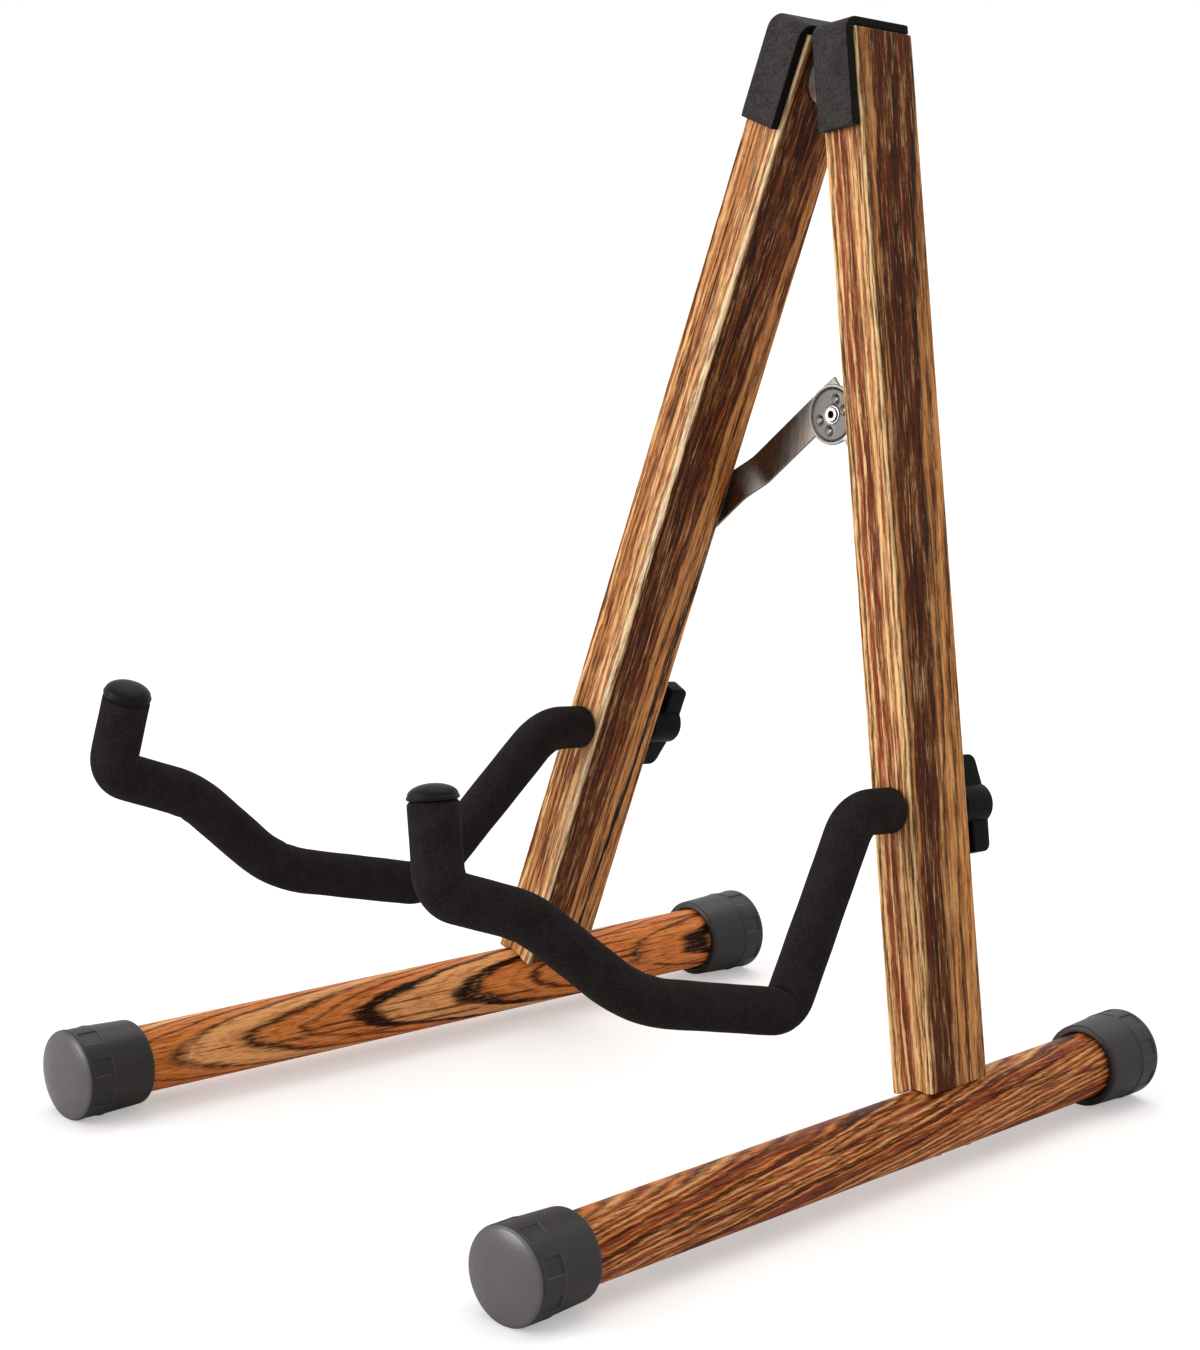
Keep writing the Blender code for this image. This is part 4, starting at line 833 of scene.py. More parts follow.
def make_strap(side, disc_radius, offset, tip, depth, name):
    """A loop round the strap's section at each stop: front face, edge, back face, edge."""
    a, low, high = strap_edges(disc_radius, offset, tip)
    v = np.linspace(0, 1, 9)
    across = np.concatenate([v, v[::-1]])
    level = np.concatenate([np.zeros(9), np.ones(9)])
    p = low[:, None] + (high - low)[:, None] * across[None, :]
    share = smooth_step(STEP_START, STEP_START + STEP_LENGTH, a)[:, None]
    y = NEAR_DEPTH + (depth - NEAR_DEPTH) * share + level[None, :] * STRAP_THICK
    rise = math.atan2(DISC_HEIGHT - SCREW_Z, SCREW_X) + math.asin(offset / STAY_REACH)
    x = -side * (a[:, None] * math.cos(rise) - p * math.sin(rise))
    z = a[:, None] * math.sin(rise) + p * math.cos(rise)
    rings = np.stack([x + side * SCREW_X, y, z + SCREW_Z], axis=-1)
    poles = [np.tile(ring.mean(axis=0), (18, 1)) for ring in (rings[0], rings[-1])]
    return skin(name, in_plane(np.concatenate([poles[:1], rings, poles[1:]])))


def drill_in_plane(x, z, depth, radius):
    """A round cutter through the stay's layer at a depth."""
    start, end = (x, depth - DRILL_PAST, z), (x, depth + STRAP_THICK + DRILL_PAST, z)
    return skin("drill", in_plane(bar(start, end, radius, 48)))


# %% [markdown]
# The front disc is a height field over its radius and angle. Its face is sunk inside a rim, four
# dimples are pressed into the face, and a shallow ring runs round the rivet. The same distances
# then say where a painted highlight goes, on the rim, the ring, the bosses and the lit side of each
# dimple, and where painted shade goes, inside the rim and on each dimple's other side.

# %% The stamped disc and its marks
DIMPLES, DIMPLE_CIRCLE = (79, 206, 268, 23), 0.007
# The rim's foot, top and rounded edge, and where its painted highlight starts and is full, in from the edge.
RIM_FOOT, RIM_TOP, RIM_ROUND, RIM_HIGHLIGHT, RIM_BRIGHT = 0.0020, 0.0013, 0.0006, 0.0010, 0.0006
FACE_DEPTH, RIM_DROP, RING_DEPTH = 0.0004, 0.0004, 0.00015
DIMPLE_DEPTH, BOSS_HEIGHT, LIP_HEIGHT = 0.00055, 0.0004, 0.00012
# Where a step starts and ends: from a dimple's own middle, and for the ring of painted highlight
# from the disc's. BOSS_TOP is how far from a dimple's middle a boss has its painted highlight.
DIMPLE_WALL, BOSS_WALL, BOSS_TOP = (0.0010, 0.0018), (0.0003, 0.0009), 0.0006
RING_HIGHLIGHT_RISE, RING_HIGHLIGHT_FALL = (0.0030, 0.0033), (0.0038, 0.0042)
# Where a bell has its middle, and its width. DIMPLE_SHADE places the painted highlight and the
# painted shade on a dimple's wall, and RIM_SHADE, measured from the disc's edge, the painted shade inside
# the rim.
DIMPLE_LIP, DIMPLE_SHADE = (0.0020, 0.0003), (0.0014, 0.00045)
RIVET_RING, RIM_SHADE = (0.0036, 0.0005), (-0.0022, 0.0004)
# How far from the screw the painted reflection of the dark leg is full, and where it has faded.
PAINTED_REFLECTION_START, PAINTED_REFLECTION_END = 0.030, 0.036


def from_dimple(degrees, x, z):
    """How far places are from a dimple's middle: across, up, and in all."""
    t = math.radians(degrees)
    u, v = x - DIMPLE_CIRCLE * math.cos(t), z - DIMPLE_CIRCLE * math.sin(t)
    return u, v, np.hypot(u, v)


def stamped_disc(depth, radius):
    """A disc whose front is a field of depths, measured back from the top of its rim.

    Each dimple is a round dish, a smooth step of the distance from its middle, with a small
    boss left standing in it and a low lip round it.
    """
    a = np.linspace(0, 2 * np.pi, 300, endpoint=False)
    face, rim = np.linspace(0.0025, radius - 0.0024, 72), np.linspace(radius - 0.0023, radius, 24)
    r = np.concatenate([face, rim])
    rr, aa = np.meshgrid(r, a, indexing="ij")
    sunk = FACE_DEPTH * (1 - smooth_step(radius - RIM_FOOT, radius - RIM_TOP, rr))
    sunk += RIM_DROP * smooth_step(radius - RIM_ROUND, radius, rr) ** 2
    for degrees in DIMPLES:
        *_, away = from_dimple(degrees, rr * np.cos(aa), rr * np.sin(aa))
        sunk += DIMPLE_DEPTH * (1 - smooth_step(*DIMPLE_WALL, away))
        sunk -= BOSS_HEIGHT * (1 - smooth_step(*BOSS_WALL, away))
        sunk -= LIP_HEIGHT * bell(away, *DIMPLE_LIP)
    sunk += RING_DEPTH * bell(rr, *RIVET_RING)
    front = np.stack([rr * np.cos(aa), depth + sunk, rr * np.sin(aa)], axis=-1)
    edge = front[-1] + np.array([0, STRAP_THICK - 0.0007, 0])
    back = front[-1] * [0.985, 0, 0.985] + [0, depth + STRAP_THICK, 0]
    hole = front[0] * [1, 0, 1] + [0, depth + STRAP_THICK, 0]
    rings = np.concatenate([front, [edge, back, hole]])
    return skin("stamped_disc", in_plane(rings + np.array([0, 0, DISC_HEIGHT])), closed=True)


def join(name, parts):
    """Several closed pieces kept as one object."""
    work = bmesh.new()
    for part in parts:
        work.from_mesh(part.data)
    remove(parts)
    mesh = bpy.data.meshes.new(name)
    work.to_mesh(mesh)
    work.free()
    return placed(name, mesh)


def mark_stay(piece, side):
    """Marks a painted reflection of the dark leg on the end by the screw, and on the front disc
    its face, its painted shade and its painted highlights.

    Painted shade and painted highlights are marked only where the surface faces the front.
    """
    x, _, z = ((points_of(piece) - MIDDLE) @ PLANE).T
    along = np.hypot(x - side * SCREW_X, z - SCREW_Z)
    r = np.hypot(x, z - DISC_HEIGHT)
    on_disc = (1 - smooth_step(FRONT_DISC, FRONT_DISC + 0.0006, r)) * (side > 0)
    normals = np.empty(3 * len(x))
    piece.data.vertex_normals.foreach_get("vector", normals)
    front = on_disc * smooth_step(0.0, 0.3, -(normals.reshape(-1, 3) @ PLANE)[:, 1])
    # Painted reflection of the dark leg: the strap is darker near its screw.
    mark(piece, "painted_leg_reflection", (1 - smooth_step(PAINTED_REFLECTION_START, PAINTED_REFLECTION_END, along)) * 0.85)
    mark(piece, "disc_face", on_disc)
    # Painted highlight on the top of the rim and on the ring round the rivet; painted shade just inside the
    # rim.
    painted_highlight = smooth_step(FRONT_DISC - RIM_HIGHLIGHT, FRONT_DISC - RIM_BRIGHT, r) * 0.8
    painted_highlight = painted_highlight + smooth_step(*RING_HIGHLIGHT_RISE, r) * (1 - smooth_step(*RING_HIGHLIGHT_FALL, r))
    painted_shade = bell(r - FRONT_DISC, *RIM_SHADE)
    for degrees in DIMPLES:
        u, v, away = from_dimple(degrees, x, z - DISC_HEIGHT)
        # lit is the side of a dimple's wall turned toward the lamps: it gets a painted highlight, the other
        # side painted shade, and a boss's top a painted highlight.
        lit = np.clip((-u * 0.9 - v * 0.4) / np.maximum(away, 1e-6), 0, 1)
        wall = bell(away, *DIMPLE_SHADE)
        painted_highlight = painted_highlight + wall * lit + (away < BOSS_TOP)
        painted_shade = painted_shade + wall * (1 - lit) * 0.8
    mark(piece, "painted_highlight", np.clip(painted_highlight, 0, 1) * front)
    mark(piece, "painted_shade", np.clip(painted_shade, 0, 1) * front)


# %% Cut and press both straps
# side, name, disc radius, offset, tip, depth and the radius of the hole round the rivet
STRAPS = (
    (1, "right", FRONT_DISC - 0.0004, FRONT_DISC - STRAP_HALF, 0.0, FRONT_DEPTH, FRONT_DISC - 0.0008),
    (-1, "left", REAR_DISC, REAR_OFFSET, REAR_TIP, REAR_DEPTH, RIVET_HOLE),
)
for side, name, disc, offset, tip, depth, hole in STRAPS:
    label = name + "_stay_strap"
    strap = make_strap(side, disc, offset, tip, depth, label)
    screw = drill_in_plane(side * SCREW_X, SCREW_Z, NEAR_DEPTH, SCREW_HOLE)
    settle(strap, [screw, drill_in_plane(0, DISC_HEIGHT, depth, hole)])
    if side > 0:
        strap = join(label, [strap, stamped_disc(depth, FRONT_DISC)])
    smooth(strap, 40)
    mark_stay(strap, side)
    fit(strap, name + "_stay_arm", name + "_stay", name + "_stay")
print("stay reach", round(1000 * STAY_REACH, 2), "mm")

# %% [markdown]
# ## Shader nodes with short calls
# Every finish is a tree of shader nodes. Adding and linking nodes one by one takes many lines, so
# a small helper adds a node, fills its inputs, and gives back its output for the next node.

# %% Helpers for shader nodes


class Shader:
    """A material's node tree, with short calls that add a node and link its inputs."""

    def __init__(self, name):
        self.material = bpy.data.materials.new(name)
        self.material.use_nodes = True
        self.tree = self.material.node_tree
        self.surface = self.tree.nodes["Principled BSDF"]

    def node(self, kind, inputs=None, **settings):
        """Adds a node, with its settings and its inputs filled."""
        made = self.tree.nodes.new("ShaderNode" + kind)
        for key, value in settings.items():
            setattr(made, key, value)
        for key, value in (inputs or {}).items():
            self.plug(made.inputs[key], value)
        return made

    def plug(self, socket, value):
        """Links an output to a socket, or writes a plain value in it."""
        if isinstance(value, bpy.types.NodeSocket):
            self.tree.links.new(value, socket)
        else:
            socket.default_value = value

    def math(self, operation, a, b=0.0, c=None):
        """One sum on two or three numbers."""
        inputs = {0: a, 1: b} if c is None else {0: a, 1: b, 2: c}
        return self.node("Math", inputs, operation=operation).outputs[0]

    def blend(self, *terms):
        """The sum of value times weight over (value, weight) pairs."""
        total = 0.0
        for value, weight in terms:
            total = self.math("MULTIPLY_ADD", value, weight, total)
        return total

    def vector(self, x, y, z):
        """Three numbers as one place."""
        return self.node("CombineXYZ", {0: x, 1: y, 2: z}).outputs[0]

    def noise(self, vector, scale=1.0, detail=2.0, roughness=0.5):
        """Noise from 0 to 1, with scale waves to the metre."""
        inputs = {"Vector": vector, "Scale": scale, "Detail": detail, "Roughness": roughness}
        return self.node("TexNoise", inputs).outputs["Fac"]

    def attribute(self, name):
        """A number that mark() stored on the piece's points."""
        return self.node("Attribute", attribute_name=name).outputs["Fac"]

    def ramp(self, value, stops):
        """A colour read off a strip: stops are (place, colour), from low to high."""
        made = self.node("ValToRGB", {"Fac": value})
        band = made.color_ramp
        while len(band.elements) < len(stops):
            band.elements.new(1.0)
        for element, (at, colour) in zip(band.elements, stops):
            element.position = at
            element.color = (*colour[:3], 1)
        return made.outputs["Color"]

    def step(self, value, low, high):
        """0 below low and 1 above high, with a straight rise between them."""
        return self.node("MapRange", {0: value, 1: low, 2: high, 3: 0.0, 4: 1.0}).outputs[0]

    def mix(self, share, a, b, blend="MIX"):
        """Colour a, with a share of colour b laid over it. The two colours are sockets 6 and 7."""
        made = self.node("Mix", {0: share}, data_type="RGBA", blend_type=blend)
        for index, colour in ((6, a), (7, b)):
            linked = isinstance(colour, bpy.types.NodeSocket)
            self.plug(made.inputs[index], colour if linked else (*colour[:3], 1))
        return made.outputs[2]

    def speckled(self, tone, colour, spread):
        """A colour from darker to brighter by a tone: spread is how much of it, low and high."""
        low, high = spread
        return self.mix(tone, [c * low for c in colour], [c * high for c in colour])

    def at_places(self, shade, tone, places, spread):
        """Other speckled colours wherever the places are marked on the points."""
        for attribute, other in places:
            shade = self.mix(self.attribute(attribute), shade, self.speckled(tone, other, spread))
        return shade

    def bump(self, height, strength, distance):
        """The normal of a surface raised by a height."""
        inputs = {"Height": height, "Strength": strength, "Distance": distance}
        return self.node("Bump", inputs).outputs["Normal"]

    def finish(self, **sockets):
        """Fills the shader's sockets and gives the material back."""
        for key, value in sockets.items():
            self.plug(self.surface.inputs[key.replace("_", " ")], value)
        return self.material


def linear(red, green, blue):
    """A colour as it looks on screen, 0 to 255, in the linear values a shader wants."""
    c = np.array([red, green, blue]) / 255
    return tuple(np.where(c <= 0.04045, c / 12.92, ((c + 0.055) / 1.055) ** 2.4).tolist())


print("white is", linear(255, 255, 255))

# %% [markdown]
# ## Wood
# The boards are a striped hardwood. Its stripes are growth rings of very different widths, cut
# at a slant, so each finish here starts from a list of rings, from one side of the board to the
# other, each with a width and a tone. A point's place among the rings is a slanted distance
# through the board. Where the slant runs along the board, the rings come out as long nested
# arrowheads on a round bar. Slow noise makes the rings wander, and fine noise drawn out along
# the grain frays their edges. Fibres, pores and a paler edge, partly wear and partly a painted
# highlight where the rounded corner catches the light, go over them. The three
# scales of each noise are waves to the metre across, through and along the board.

# %% The wood shader
TONES = {
    "black": linear(34, 10, 0),
    "dark": linear(62, 22, 2),
    "umber": linear(96, 42, 4),
    "rust": linear(146, 75, 28),
    "brown": linear(134, 72, 29),
    "tan": linear(208, 141, 80),
    "gold": linear(250, 201, 138),
    "cream": linear(255, 232, 190),
    "red": linear(146, 70, 34),
    "orange": linear(228, 134, 66),
    "amber": linear(248, 174, 108),
}
# The paler corners of the legs are partly wear and partly a painted highlight of the rounded edge.
WEAR_AND_HIGHLIGHT_TONE, PORE_TONE = linear(252, 218, 164), (0.020, 0.006, 0.002)
WEAR_AND_HIGHLIGHT_EDGE = 0.0011


def ring_stops(rings, edge=0.35, most=32):
    """Stops of a colour strip from (width, tone) pairs, and the width of all rings together.

    A ring has one stop in its middle, and the widest have one near each edge. Blender's strip
    takes 32 stops at most.
    """
    total = sum(width for width, _ in rings)
    widths = sorted((width for width, _ in rings), reverse=True)
    wide = max(1.7, widths[min(most - len(rings), len(rings) - 1)])
    stops, at = [], 0.0
    for width, tone in rings:
        places = [at + edge, at + width - edge] if width > wide else [at + width / 2]
        stops += [(place / total, TONES[tone]) for place in places]
        at += width
    return stops, total


def wood(name, board, rings, slant, start, unrest, wear_and_highlight, seed, deep):
    """Striped wood in a board's own directions x, y across and z along, all in mm.

    The place among the rings is x a + y b + z c + y z e + three noises - start, and past the last
    ring the list is walked back again. The slant is (a, b, c, e), and unrest says how far each of
    the noises moves a ring. board is the place and the turn of the board.
    """
    wander, curl, fray = unrest
    s = Shader(name)
    space = s.node("TexCoord").outputs["Object"]
    held = s.node("Mapping", {"Vector": space}, vector_type="TEXTURE")
    held.inputs["Location"].default_value, held.inputs["Rotation"].default_value = board
    xyz = s.node("SeparateXYZ", {0: held.outputs[0]}).outputs[:3]

    def noise(scales, shift, detail, roughness=0.5):
        """Noise drawn out along the board, taken from its own place by a shift."""
        x, y, z = (s.math("MULTIPLY", part, scale) for part, scale in zip(xyz, scales))
        return s.noise(s.vector(x, y, s.math("ADD", z, seed + shift)), 1.0, detail, roughness)

    slow, bent = noise((22, 22, 5), 0, 2.0), noise((130, 130, 24), 7, 2.0)
    frayed = noise((800, 800, 62), 0, 4.0, 0.72)
    slanted = ((part, 1000 * k) for part, k in zip(xyz, slant))
    q = s.blend(*slanted, (slow, wander), (bent, curl), (frayed, fray))
    q = s.blend((s.math("MULTIPLY", xyz[1], xyz[2]), 1e6 * slant[3]), (q, 1.0))
    stops, total = ring_stops(rings)
    q = s.math("SUBTRACT", q, start + (wander + curl + fray) / 2)
    share = s.math("DIVIDE", s.math("PINGPONG", q, total), total)
    colour = s.ramp(share, stops)

    sheet = s.vector(s.math("MULTIPLY", q, 0.9), s.math("MULTIPLY", xyz[2], 26.0), seed)
    lines = s.noise(sheet, detail=4.0, roughness=0.7)
    fibre = noise((1300, 1300, 62), 3, 4.0, 0.72)
    grain = s.blend((lines, 0.5), (fibre, 0.5))
    shade = s.ramp(grain, [(0.405, (0.25, 0.14, 0.08)), (0.47, (0.78, 0.68, 0.60)), (0.51, (1, 1, 1))])
    colour = s.mix(deep, colour, shade, "MULTIPLY")
    vein = s.blend((noise((420, 420, 10), 5, 3.0, 0.62), 1.0), (frayed, 0.10))
    vein = s.step(vein, 0.645, 0.685)
    colour = s.mix(s.math("MULTIPLY", vein, 0.8), colour, TONES["dark"])
    glow = s.step(grain, 0.53, 0.62)
    colour = s.mix(s.math("MULTIPLY", glow, 0.55), colour, TONES["gold"] if wear_and_highlight else TONES["amber"])
    dash = s.step(noise((2600, 2600, 120), 0, 1.0), 0.62, 0.70)
    colour = s.mix(s.math("MULTIPLY", dash, 0.65), colour, PORE_TONE)
    # Paler corners: partly wear and partly a painted highlight of the rounded edge.
    if wear_and_highlight:
        inner = [(s.math("ABSOLUTE", part), size / 2 - WEAR_AND_HIGHLIGHT_EDGE) for part, size in zip(xyz, wear_and_highlight)]
        sides = [s.math("SUBTRACT", part, size) for part, size in inner]
        edge = s.step(s.math("MINIMUM", *sides), 0.0, 0.0006)
        edge = s.math("MULTIPLY", edge, s.step(fibre, 0.42, 0.56))
        colour = s.mix(s.math("MULTIPLY", edge, 0.8), colour, WEAR_AND_HIGHLIGHT_TONE)
    height = s.blend((fibre, 0.5), (dash, -0.8), (lines, 0.4))
    rough = s.math("ADD", s.blend((fibre, 0.20), (dash, 0.15)), 0.33)
    s.surface.inputs["Specular IOR Level"].default_value = 0.08
    return s.finish(Base_Color=colour, Roughness=rough, Normal=s.bump(height, 0.3, 0.0003))


# %% [markdown]
# The four boards are four different pieces of the tree, so each has its own list of rings. The
# right leg has a reddish band down the middle of its front and a broad dark one on its outer
# side. The left rail was cut nearly along the rings, which gives it wide nested arrowheads.

# %% Cut the four boards from their rings


def rings_from(text):
    """(width in mm, tone) pairs from words such as "2.2 tan, 0.7 rust"."""
    return [(float(width), tone) for width, tone in (ring.split() for ring in text.split(","))]


RIGHT_LEG_RINGS = rings_from(
    "2.2 tan, 0.7 rust, 1.8 gold, 0.7 umber, 1.2 gold, 2.4 red, 0.5 gold, 1.2 umber, 2.2 red, "
    "2.2 gold, 0.8 rust, 1.6 gold, 0.7 umber, 1.0 gold, 1.1 dark, 1.4 tan, 0.8 dark, 3.6 umber, "
    "1.0 black, 3.0 umber, 1.4 black, 2.0 tan, 1.0 dark, 2.8 tan, 1.3 black, 3.0 tan"
)
LEFT_LEG_RINGS = rings_from(
    "1.2 tan, 0.9 dark, 0.9 rust, 1.5 gold, 0.6 rust, 1.4 tan, 0.7 dark, 1.2 tan, 2.0 red, "
    "0.4 gold, 2.4 red, 1.4 gold, 0.6 rust, 2.2 cream, 1.6 umber, 1.6 dark, 0.8 brown, 1.8 dark, "
    "0.9 umber, 0.9 black, 1.2 brown, 0.7 dark, 1.6 rust, 0.8 dark, 1.6 brown, 0.7 dark, "
    "2.6 tan, 0.9 dark, 3.0 tan, 1.2 black"
)
LEFT_RAIL_RINGS = rings_from(
    "3.0 orange, 0.6 dark, 3.0 amber, 0.8 dark, 3.6 orange, 0.7 dark, 3.0 orange, 1.3 black, "
    "3.8 amber, 1.4 black, 2.2 orange, 0.5 umber, 2.4 orange, 1.9 black, 4.6 amber, 2.0 black, "
    "3.4 orange, 0.9 dark, 3.0 orange"
)
RIGHT_RAIL_RINGS = rings_from(
    "1.4 red, 0.8 amber, 1.0 dark, 1.0 orange, 0.8 umber, 0.8 amber, 2.6 umber, 0.7 orange, "
    "3.2 red, 0.8 dark, 1.4 orange, 0.7 umber, 1.2 amber, 1.0 dark, 0.8 orange, 0.8 umber, "
    "1.2 amber, 0.8 red"
)


def euler_of(matrix):
    """The XYZ angles of a rotation matrix."""
    y = -math.asin(np.clip(matrix[2, 0], -1, 1))
    return (math.atan2(matrix[2, 1], matrix[2, 2]), y, math.atan2(matrix[1, 0], matrix[0, 0]))


ALONG_RAIL = np.array([[1, 0, 0], [0, 0, 1], [0, -1, 0]])
leg_board = {side: (FOOT[side].tolist(), euler_of(LEG_TURN[side])) for side, _ in SIDES}
rail_board = {side: (FOOT[side].tolist(), euler_of(RAIL_TURN[side] @ ALONG_RAIL)) for side, _ in SIDES}
LEG_SIZE, LEG_NOISE = (LEG_WIDTH, LEG_DEPTH), (5.0, 3.0, 3.4)
RIGHT_RAIL_NOISE, LEFT_RAIL_NOISE = (6.0, 3.0, 2.0), (3.0, 3.0, 2.2)
# board, rings, slant, start, how far each noise moves a ring, the size between the paler
# corners (partly wear, partly painted highlight), seed, and how deep the grain's darks are
BOARDS = {
    "right_leg": (
        leg_board[1], RIGHT_LEG_RINGS, (0.8, 0.8, -0.018, -0.001), -25.0, LEG_NOISE, LEG_SIZE, 3, 0.95
    ),
    "left_leg": (
        leg_board[-1], LEFT_LEG_RINGS, (0.75, 0.9, -0.0198, -0.0011), -25.7, LEG_NOISE, LEG_SIZE, 11, 0.95
    ),
    "right_rail": (
        rail_board[1], RIGHT_RAIL_RINGS, (-0.40, -0.92, -0.11, 0), -30.0, RIGHT_RAIL_NOISE, None, 5, 0.95
    ),
    "left_rail": (
        rail_board[-1], LEFT_RAIL_RINGS, (0.97, -0.26, 0.12, 0), -26.0, LEFT_RAIL_NOISE, None, 21, 0.6
    ),
}
finishes = {board: wood(board + "_wood", *cut) for board, cut in BOARDS.items()}
print("wood finishes:", sorted(finishes))

# %% [markdown]
# ## Rubber, foam, plastic and steel
# The dark pieces differ mostly in how they catch the light. Moulded rubber has a faint broad
# sheen and a very fine grain, foam has open cells that make it almost lightless, and the knob's
# plastic is a little smoother. Numbers stored on a piece's points say where its surface differs:
# the cap's end face is paler, a painted highlight for the light it catches, its panels darker with
# painted shade, as are their walls, the panels' edges and its rim carry a painted highlight, and the
# pads' cut sides are nearly black. The steel has brush lines, and on the stay its own marked
# places: painted highlights, painted shade and a painted reflection of the dark leg.

# %% Dark finishes


def moulded(name, colour, roughness, grain, depth, specular, places, mottle, glossier):
    """A dark moulded surface: fine grain, slow mottling, and other colours at marked places."""
    s = Shader(name)
    space = s.node("TexCoord").outputs["Object"]
    slow = s.noise(space, 120.0, 3.0, 0.6)
    fine = s.noise(space, grain, 3.0, 0.6)
    tone = s.blend((s.step(slow, 0.35, 0.65), 0.35), (s.step(fine, 0.36, 0.66), 0.65))
    shade = s.speckled(tone, colour, (1 - mottle, 1 + mottle))
    shade = s.at_places(shade, tone, places, (1 - mottle * 0.5, 1 + mottle * 0.5))
    s.surface.inputs["Specular IOR Level"].default_value = specular
    rough = s.math("MULTIPLY_ADD", fine, 0.2, roughness - 0.1)
    if glossier:
        rough = s.math("MULTIPLY_ADD", s.attribute(glossier), -0.20, rough)
    return s.finish(Base_Color=shade, Roughness=rough, Normal=s.bump(fine, 0.35, depth))


# The paler end face is a painted highlight, the panels and creases painted shade, and the edges a painted
# highlight.
CAP_PLACES = [
    ("end_face", linear(85, 81, 84)),
    ("panel", linear(16, 13, 12)),
    ("edge", linear(78, 75, 74)),
    ("crease", linear(3, 2, 2)),
]
PAD_PLACES = [("cut_edge", linear(14, 13, 12))]
# colour, roughness, grain, its depth, specular, marked places, mottle, the glossier place
DARK = {
    "cap_rubber": (linear(21, 15, 13), 0.46, 2600.0, 0.00001, 0.42, CAP_PLACES, 0.2, "end_face"),
    "pad_rubber": (linear(54, 50, 49), 0.70, 900.0, 0.00016, 0.08, PAD_PLACES, 0.6, None),
    "sleeve_foam": (linear(36, 32, 31), 0.90, 900.0, 0.00020, 0.05, (), 0.45, None),
    "knob_plastic": (linear(14, 12, 11), 0.45, 2200.0, 0.00003, 0.05, (), 0.1, None),
    "plug_plastic": (linear(20, 16, 15), 0.42, 2400.0, 0.00001, 0.10, (), 0.1, None),
}
finishes.update({stuff: moulded(stuff + "_finish", *look) for stuff, look in DARK.items()})
print("dark finishes:", sorted(DARK))

# %% Metal finishes


def brushed(name, colour, roughness, stretch, rotation=(0, 0, 0), places=(), relief=0.03, hollow=None):
    """Steel with brush lines: noise squeezed across the strokes and drawn out along them.

    The last argument is the place, turn and radius of a bore along Y, painted dark inside as painted shade.
    """
    s = Shader(name)
    space = s.node("TexCoord").outputs["Object"]
    held = s.node("Mapping", {"Vector": space})
    held.inputs["Rotation"].default_value = rotation
    held.inputs["Scale"].default_value = stretch
    lines = s.noise(held.outputs[0], 1.0, 3.0, 0.6)
    stain = s.noise(space, 70.0, 3.0, 0.6)
    tone = s.blend((s.step(stain, 0.32, 0.68), 0.6), (s.step(lines, 0.35, 0.65), 0.4))
    shade = s.at_places(s.speckled(tone, colour, (0.78, 1.15)), tone, places, (0.85, 1.1))
    if hollow:
        place, angles, radius = hollow
        bore = s.node("Mapping", {"Vector": space}, vector_type="TEXTURE")
        bore.inputs["Location"].default_value, bore.inputs["Rotation"].default_value = place, angles
        x, _, z = s.node("SeparateXYZ", {0: bore.outputs[0]}).outputs[:3]
        away = s.math("SQRT", s.math("ADD", s.math("MULTIPLY", x, x), s.math("MULTIPLY", z, z)))
        # Painted shade: inside the bore the steel is painted near black.
        shade = s.mix(s.step(away, radius, radius + 0.0003), (0.012, 0.010, 0.009), shade)
    rough = s.math("MULTIPLY_ADD", lines, 0.16, roughness - 0.08)
    return s.finish(Base_Color=shade, Metallic=1.0, Roughness=rough, Normal=s.bump(lines, relief, 0.00003))


# The stay's places: a painted reflection of the dark leg, the disc's own face, painted shade and painted
# highlight.
STAY_PLACES = [
    ("painted_leg_reflection", (0.105, 0.086, 0.071)),
    ("disc_face", (0.078, 0.071, 0.066)),
    ("painted_shade", (0.034, 0.029, 0.026)),
    ("painted_highlight", (0.36, 0.345, 0.33)),
]
STRAP_RISE = (0, math.radians(38), 0)
# The rivet's hole, painted dark as painted shade: its place, turn and radius.
RIVET_PAINTED_HOLE = (in_plane([0, 0, DISC_HEIGHT]).tolist(), (-LEAN, 0, 0), 0.0016)
# colour, roughness, the stretch of the brush lines, their turn, marked places, relief, and a bore painted
# dark as painted shade
BRIGHT = {
    "strap_steel": ((0.165, 0.141, 0.121), 0.28, (900.0, 900.0, 60.0), STRAP_RISE, STAY_PLACES, 0.10),
    "fastener_steel": ((0.36, 0.34, 0.315), 0.26, (300.0, 300.0, 300.0)),
    "rivet_steel": ((0.42, 0.405, 0.385), 0.24, (300.0, 300.0, 300.0), (0, 0, 0), (), 0.03, RIVET_PAINTED_HOLE),
    "rod_steel": ((0.36, 0.35, 0.33), 0.28, (500.0, 40.0, 500.0)),
    "insert_brass": ((0.50, 0.33, 0.12), 0.30, (500.0, 500.0, 500.0)),
}
finishes.update({metal: brushed(metal + "_finish", *look) for metal, look in BRIGHT.items()})
print("metal finishes:", sorted(BRIGHT))

# %% [markdown]
# ## Putting the finishes on
# A new piece gets its material directly. A solid that is kept from the model, such as a bolt,
# has its material slots filled with the new finish.

# %% Dress every piece


def coat(solid, finish):
    """Gives an object one finish."""
    solid.data.materials.clear()
    solid.data.materials.append(finish)


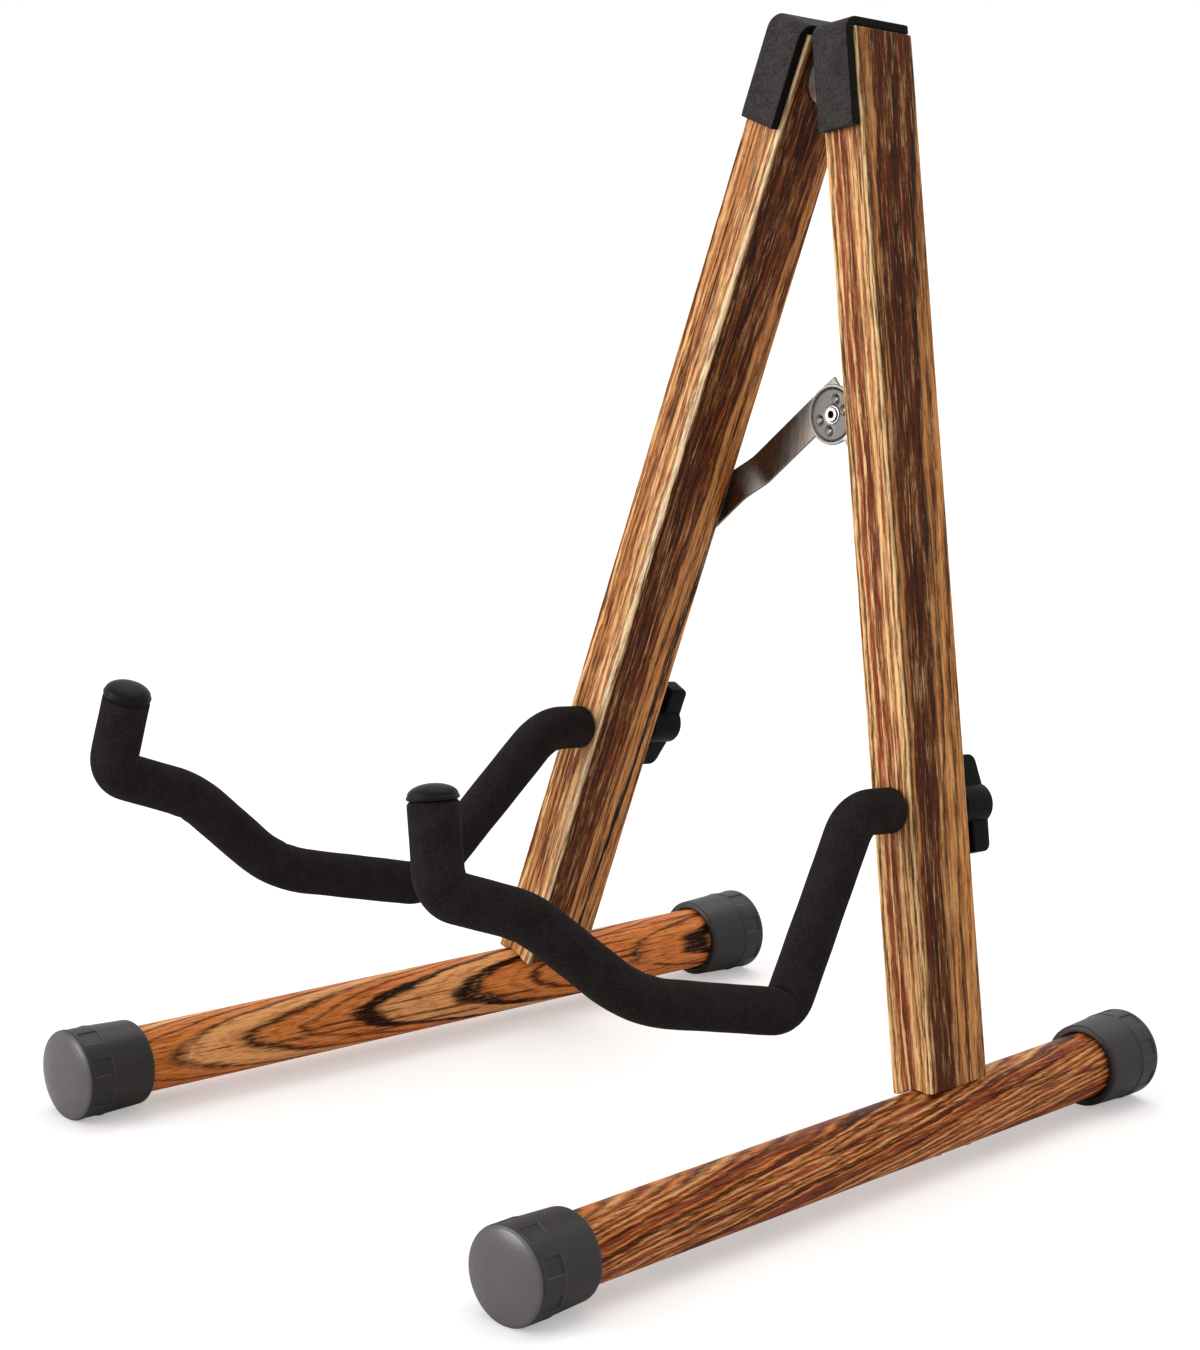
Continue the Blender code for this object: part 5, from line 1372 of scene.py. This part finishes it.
COATS = {
    "_front_cap": ("cap_rubber", "cap_rubber"),
    "_rear_cap": ("cap_rubber", "cap_rubber"),
    "_pad": ("pad_rubber", "pad_rubber"),
    "_foam": ("sleeve_foam", "foam"),
    "_plug": ("plug_plastic", "moulded_plastic"),
    "_knob": ("knob_plastic", "moulded_plastic"),
    "_stay": ("strap_steel", "steel"),
}
FASTENERS = ["_hinge_leaf", "_front_rail_bolt", "_rear_rail_bolt", "_stay_screw", "_knob_washer"]
FASTENERS += [f"_hinge_screw_{i}" for i in (1, 2, 3)]
KEPT = {ending: "fastener_steel" for ending in FASTENERS}
KEPT.update({"_arm_rod": "rod_steel", "_knob_insert": "insert_brass"})
for side, name in SIDES:
    for ending in ("_leg", "_rail"):
        coat(pieces[name + ending], finishes[name + ending])
    for ending, (finish, slot) in COATS.items():
        coat(pieces[name + ending], finishes[finish])
    for ending, finish in KEPT.items():
        coat(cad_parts[name + ending], finishes[finish])
for solid in ("hinge_pin", "stay_washer"):
    coat(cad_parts[solid], finishes["fastener_steel"])
coat(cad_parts["stay_rivet"], finishes["rivet_steel"])
print("dressed", len(pieces), "new pieces")

# %% [markdown]
# ## The floor and the light
# The stand is photographed on a white sweep. The floor is plain and pale and keeps the shadow.
# Rays from the camera, and rays reflected or passed on by the object, see the world as white,
# while the light that falls on the object comes from an even sky and three broad soft suns. A
# sun lights the whole floor alike, so the floor stays one white as far as the camera sees.

# %% Floor
FLOOR_REACH = 12.0
FLOOR_PAPER, FLOOR_GLOW, GLOW_STRENGTH = (0.85, 0.835, 0.828, 1), (1.0, 0.98, 0.97, 1), 0.36


def make_floor():
    """A flat sheet in the plane z = 0. It glows a little, but only as the camera sees it."""
    corners = np.array([[-1, -1, 0], [1, -1, 0], [1, 1, 0], [-1, 1, 0]]) * FLOOR_REACH
    mesh = bpy.data.meshes.new("floor")
    mesh.from_pydata(corners.tolist(), [], [(0, 1, 2, 3)])
    floor = placed("floor", mesh)
    s = Shader("floor_paper")
    s.surface.inputs["Specular IOR Level"].default_value = 0.0
    seen = s.math("MULTIPLY", s.node("LightPath").outputs["Is Camera Ray"], GLOW_STRENGTH)
    s.finish(Base_Color=FLOOR_PAPER, Roughness=1.0, Emission_Color=FLOOR_GLOW, Emission_Strength=seen)
    floor.data.materials.append(s.material)


make_floor()

# %% World and lamps
SEEN_SKY, CAST_SKY = 1.0, 0.55
scene = bpy.context.scene
scene.world = bpy.data.worlds.new("studio")
scene.world.use_nodes = True
tree = scene.world.node_tree
tree.nodes.clear()
rays = tree.nodes.new("ShaderNodeLightPath")
share = rays.outputs["Is Camera Ray"]
for ray in ("Is Glossy Ray", "Is Transmission Ray"):
    either = tree.nodes.new("ShaderNodeMath")
    either.operation = "MAXIMUM"
    tree.links.new(share, either.inputs[0])
    tree.links.new(rays.outputs[ray], either.inputs[1])
    share = either.outputs[0]
both = tree.nodes.new("ShaderNodeMixShader")
tree.links.new(share, both.inputs[0])
for index, strength in ((1, CAST_SKY), (2, SEEN_SKY)):
    sky = tree.nodes.new("ShaderNodeBackground")
    sky.inputs["Color"].default_value = (1, 1, 1, 1)
    sky.inputs["Strength"].default_value = strength
    tree.links.new(sky.outputs[0], both.inputs[index])
tree.links.new(both.outputs[0], tree.nodes.new("ShaderNodeOutputWorld").inputs[0])


def sun(name, azimuth, elevation, strength, width):
    """A broad sun, seen from the stand at an azimuth (from +X toward +Y) and an elevation."""
    light = bpy.data.lights.new(name, "SUN")
    light.energy, light.angle = strength, math.radians(width)
    placed(name, light).rotation_euler = (math.radians(90 - elevation), 0, math.radians(azimuth + 90))


sun("front_left_light", -112, 24, 1.15, 46)
sun("low_front_light", -122, 5, 0.9, 20)
sun("top_light", 110, 72, 0.98, 50)
scene.view_settings.view_transform = "Standard"
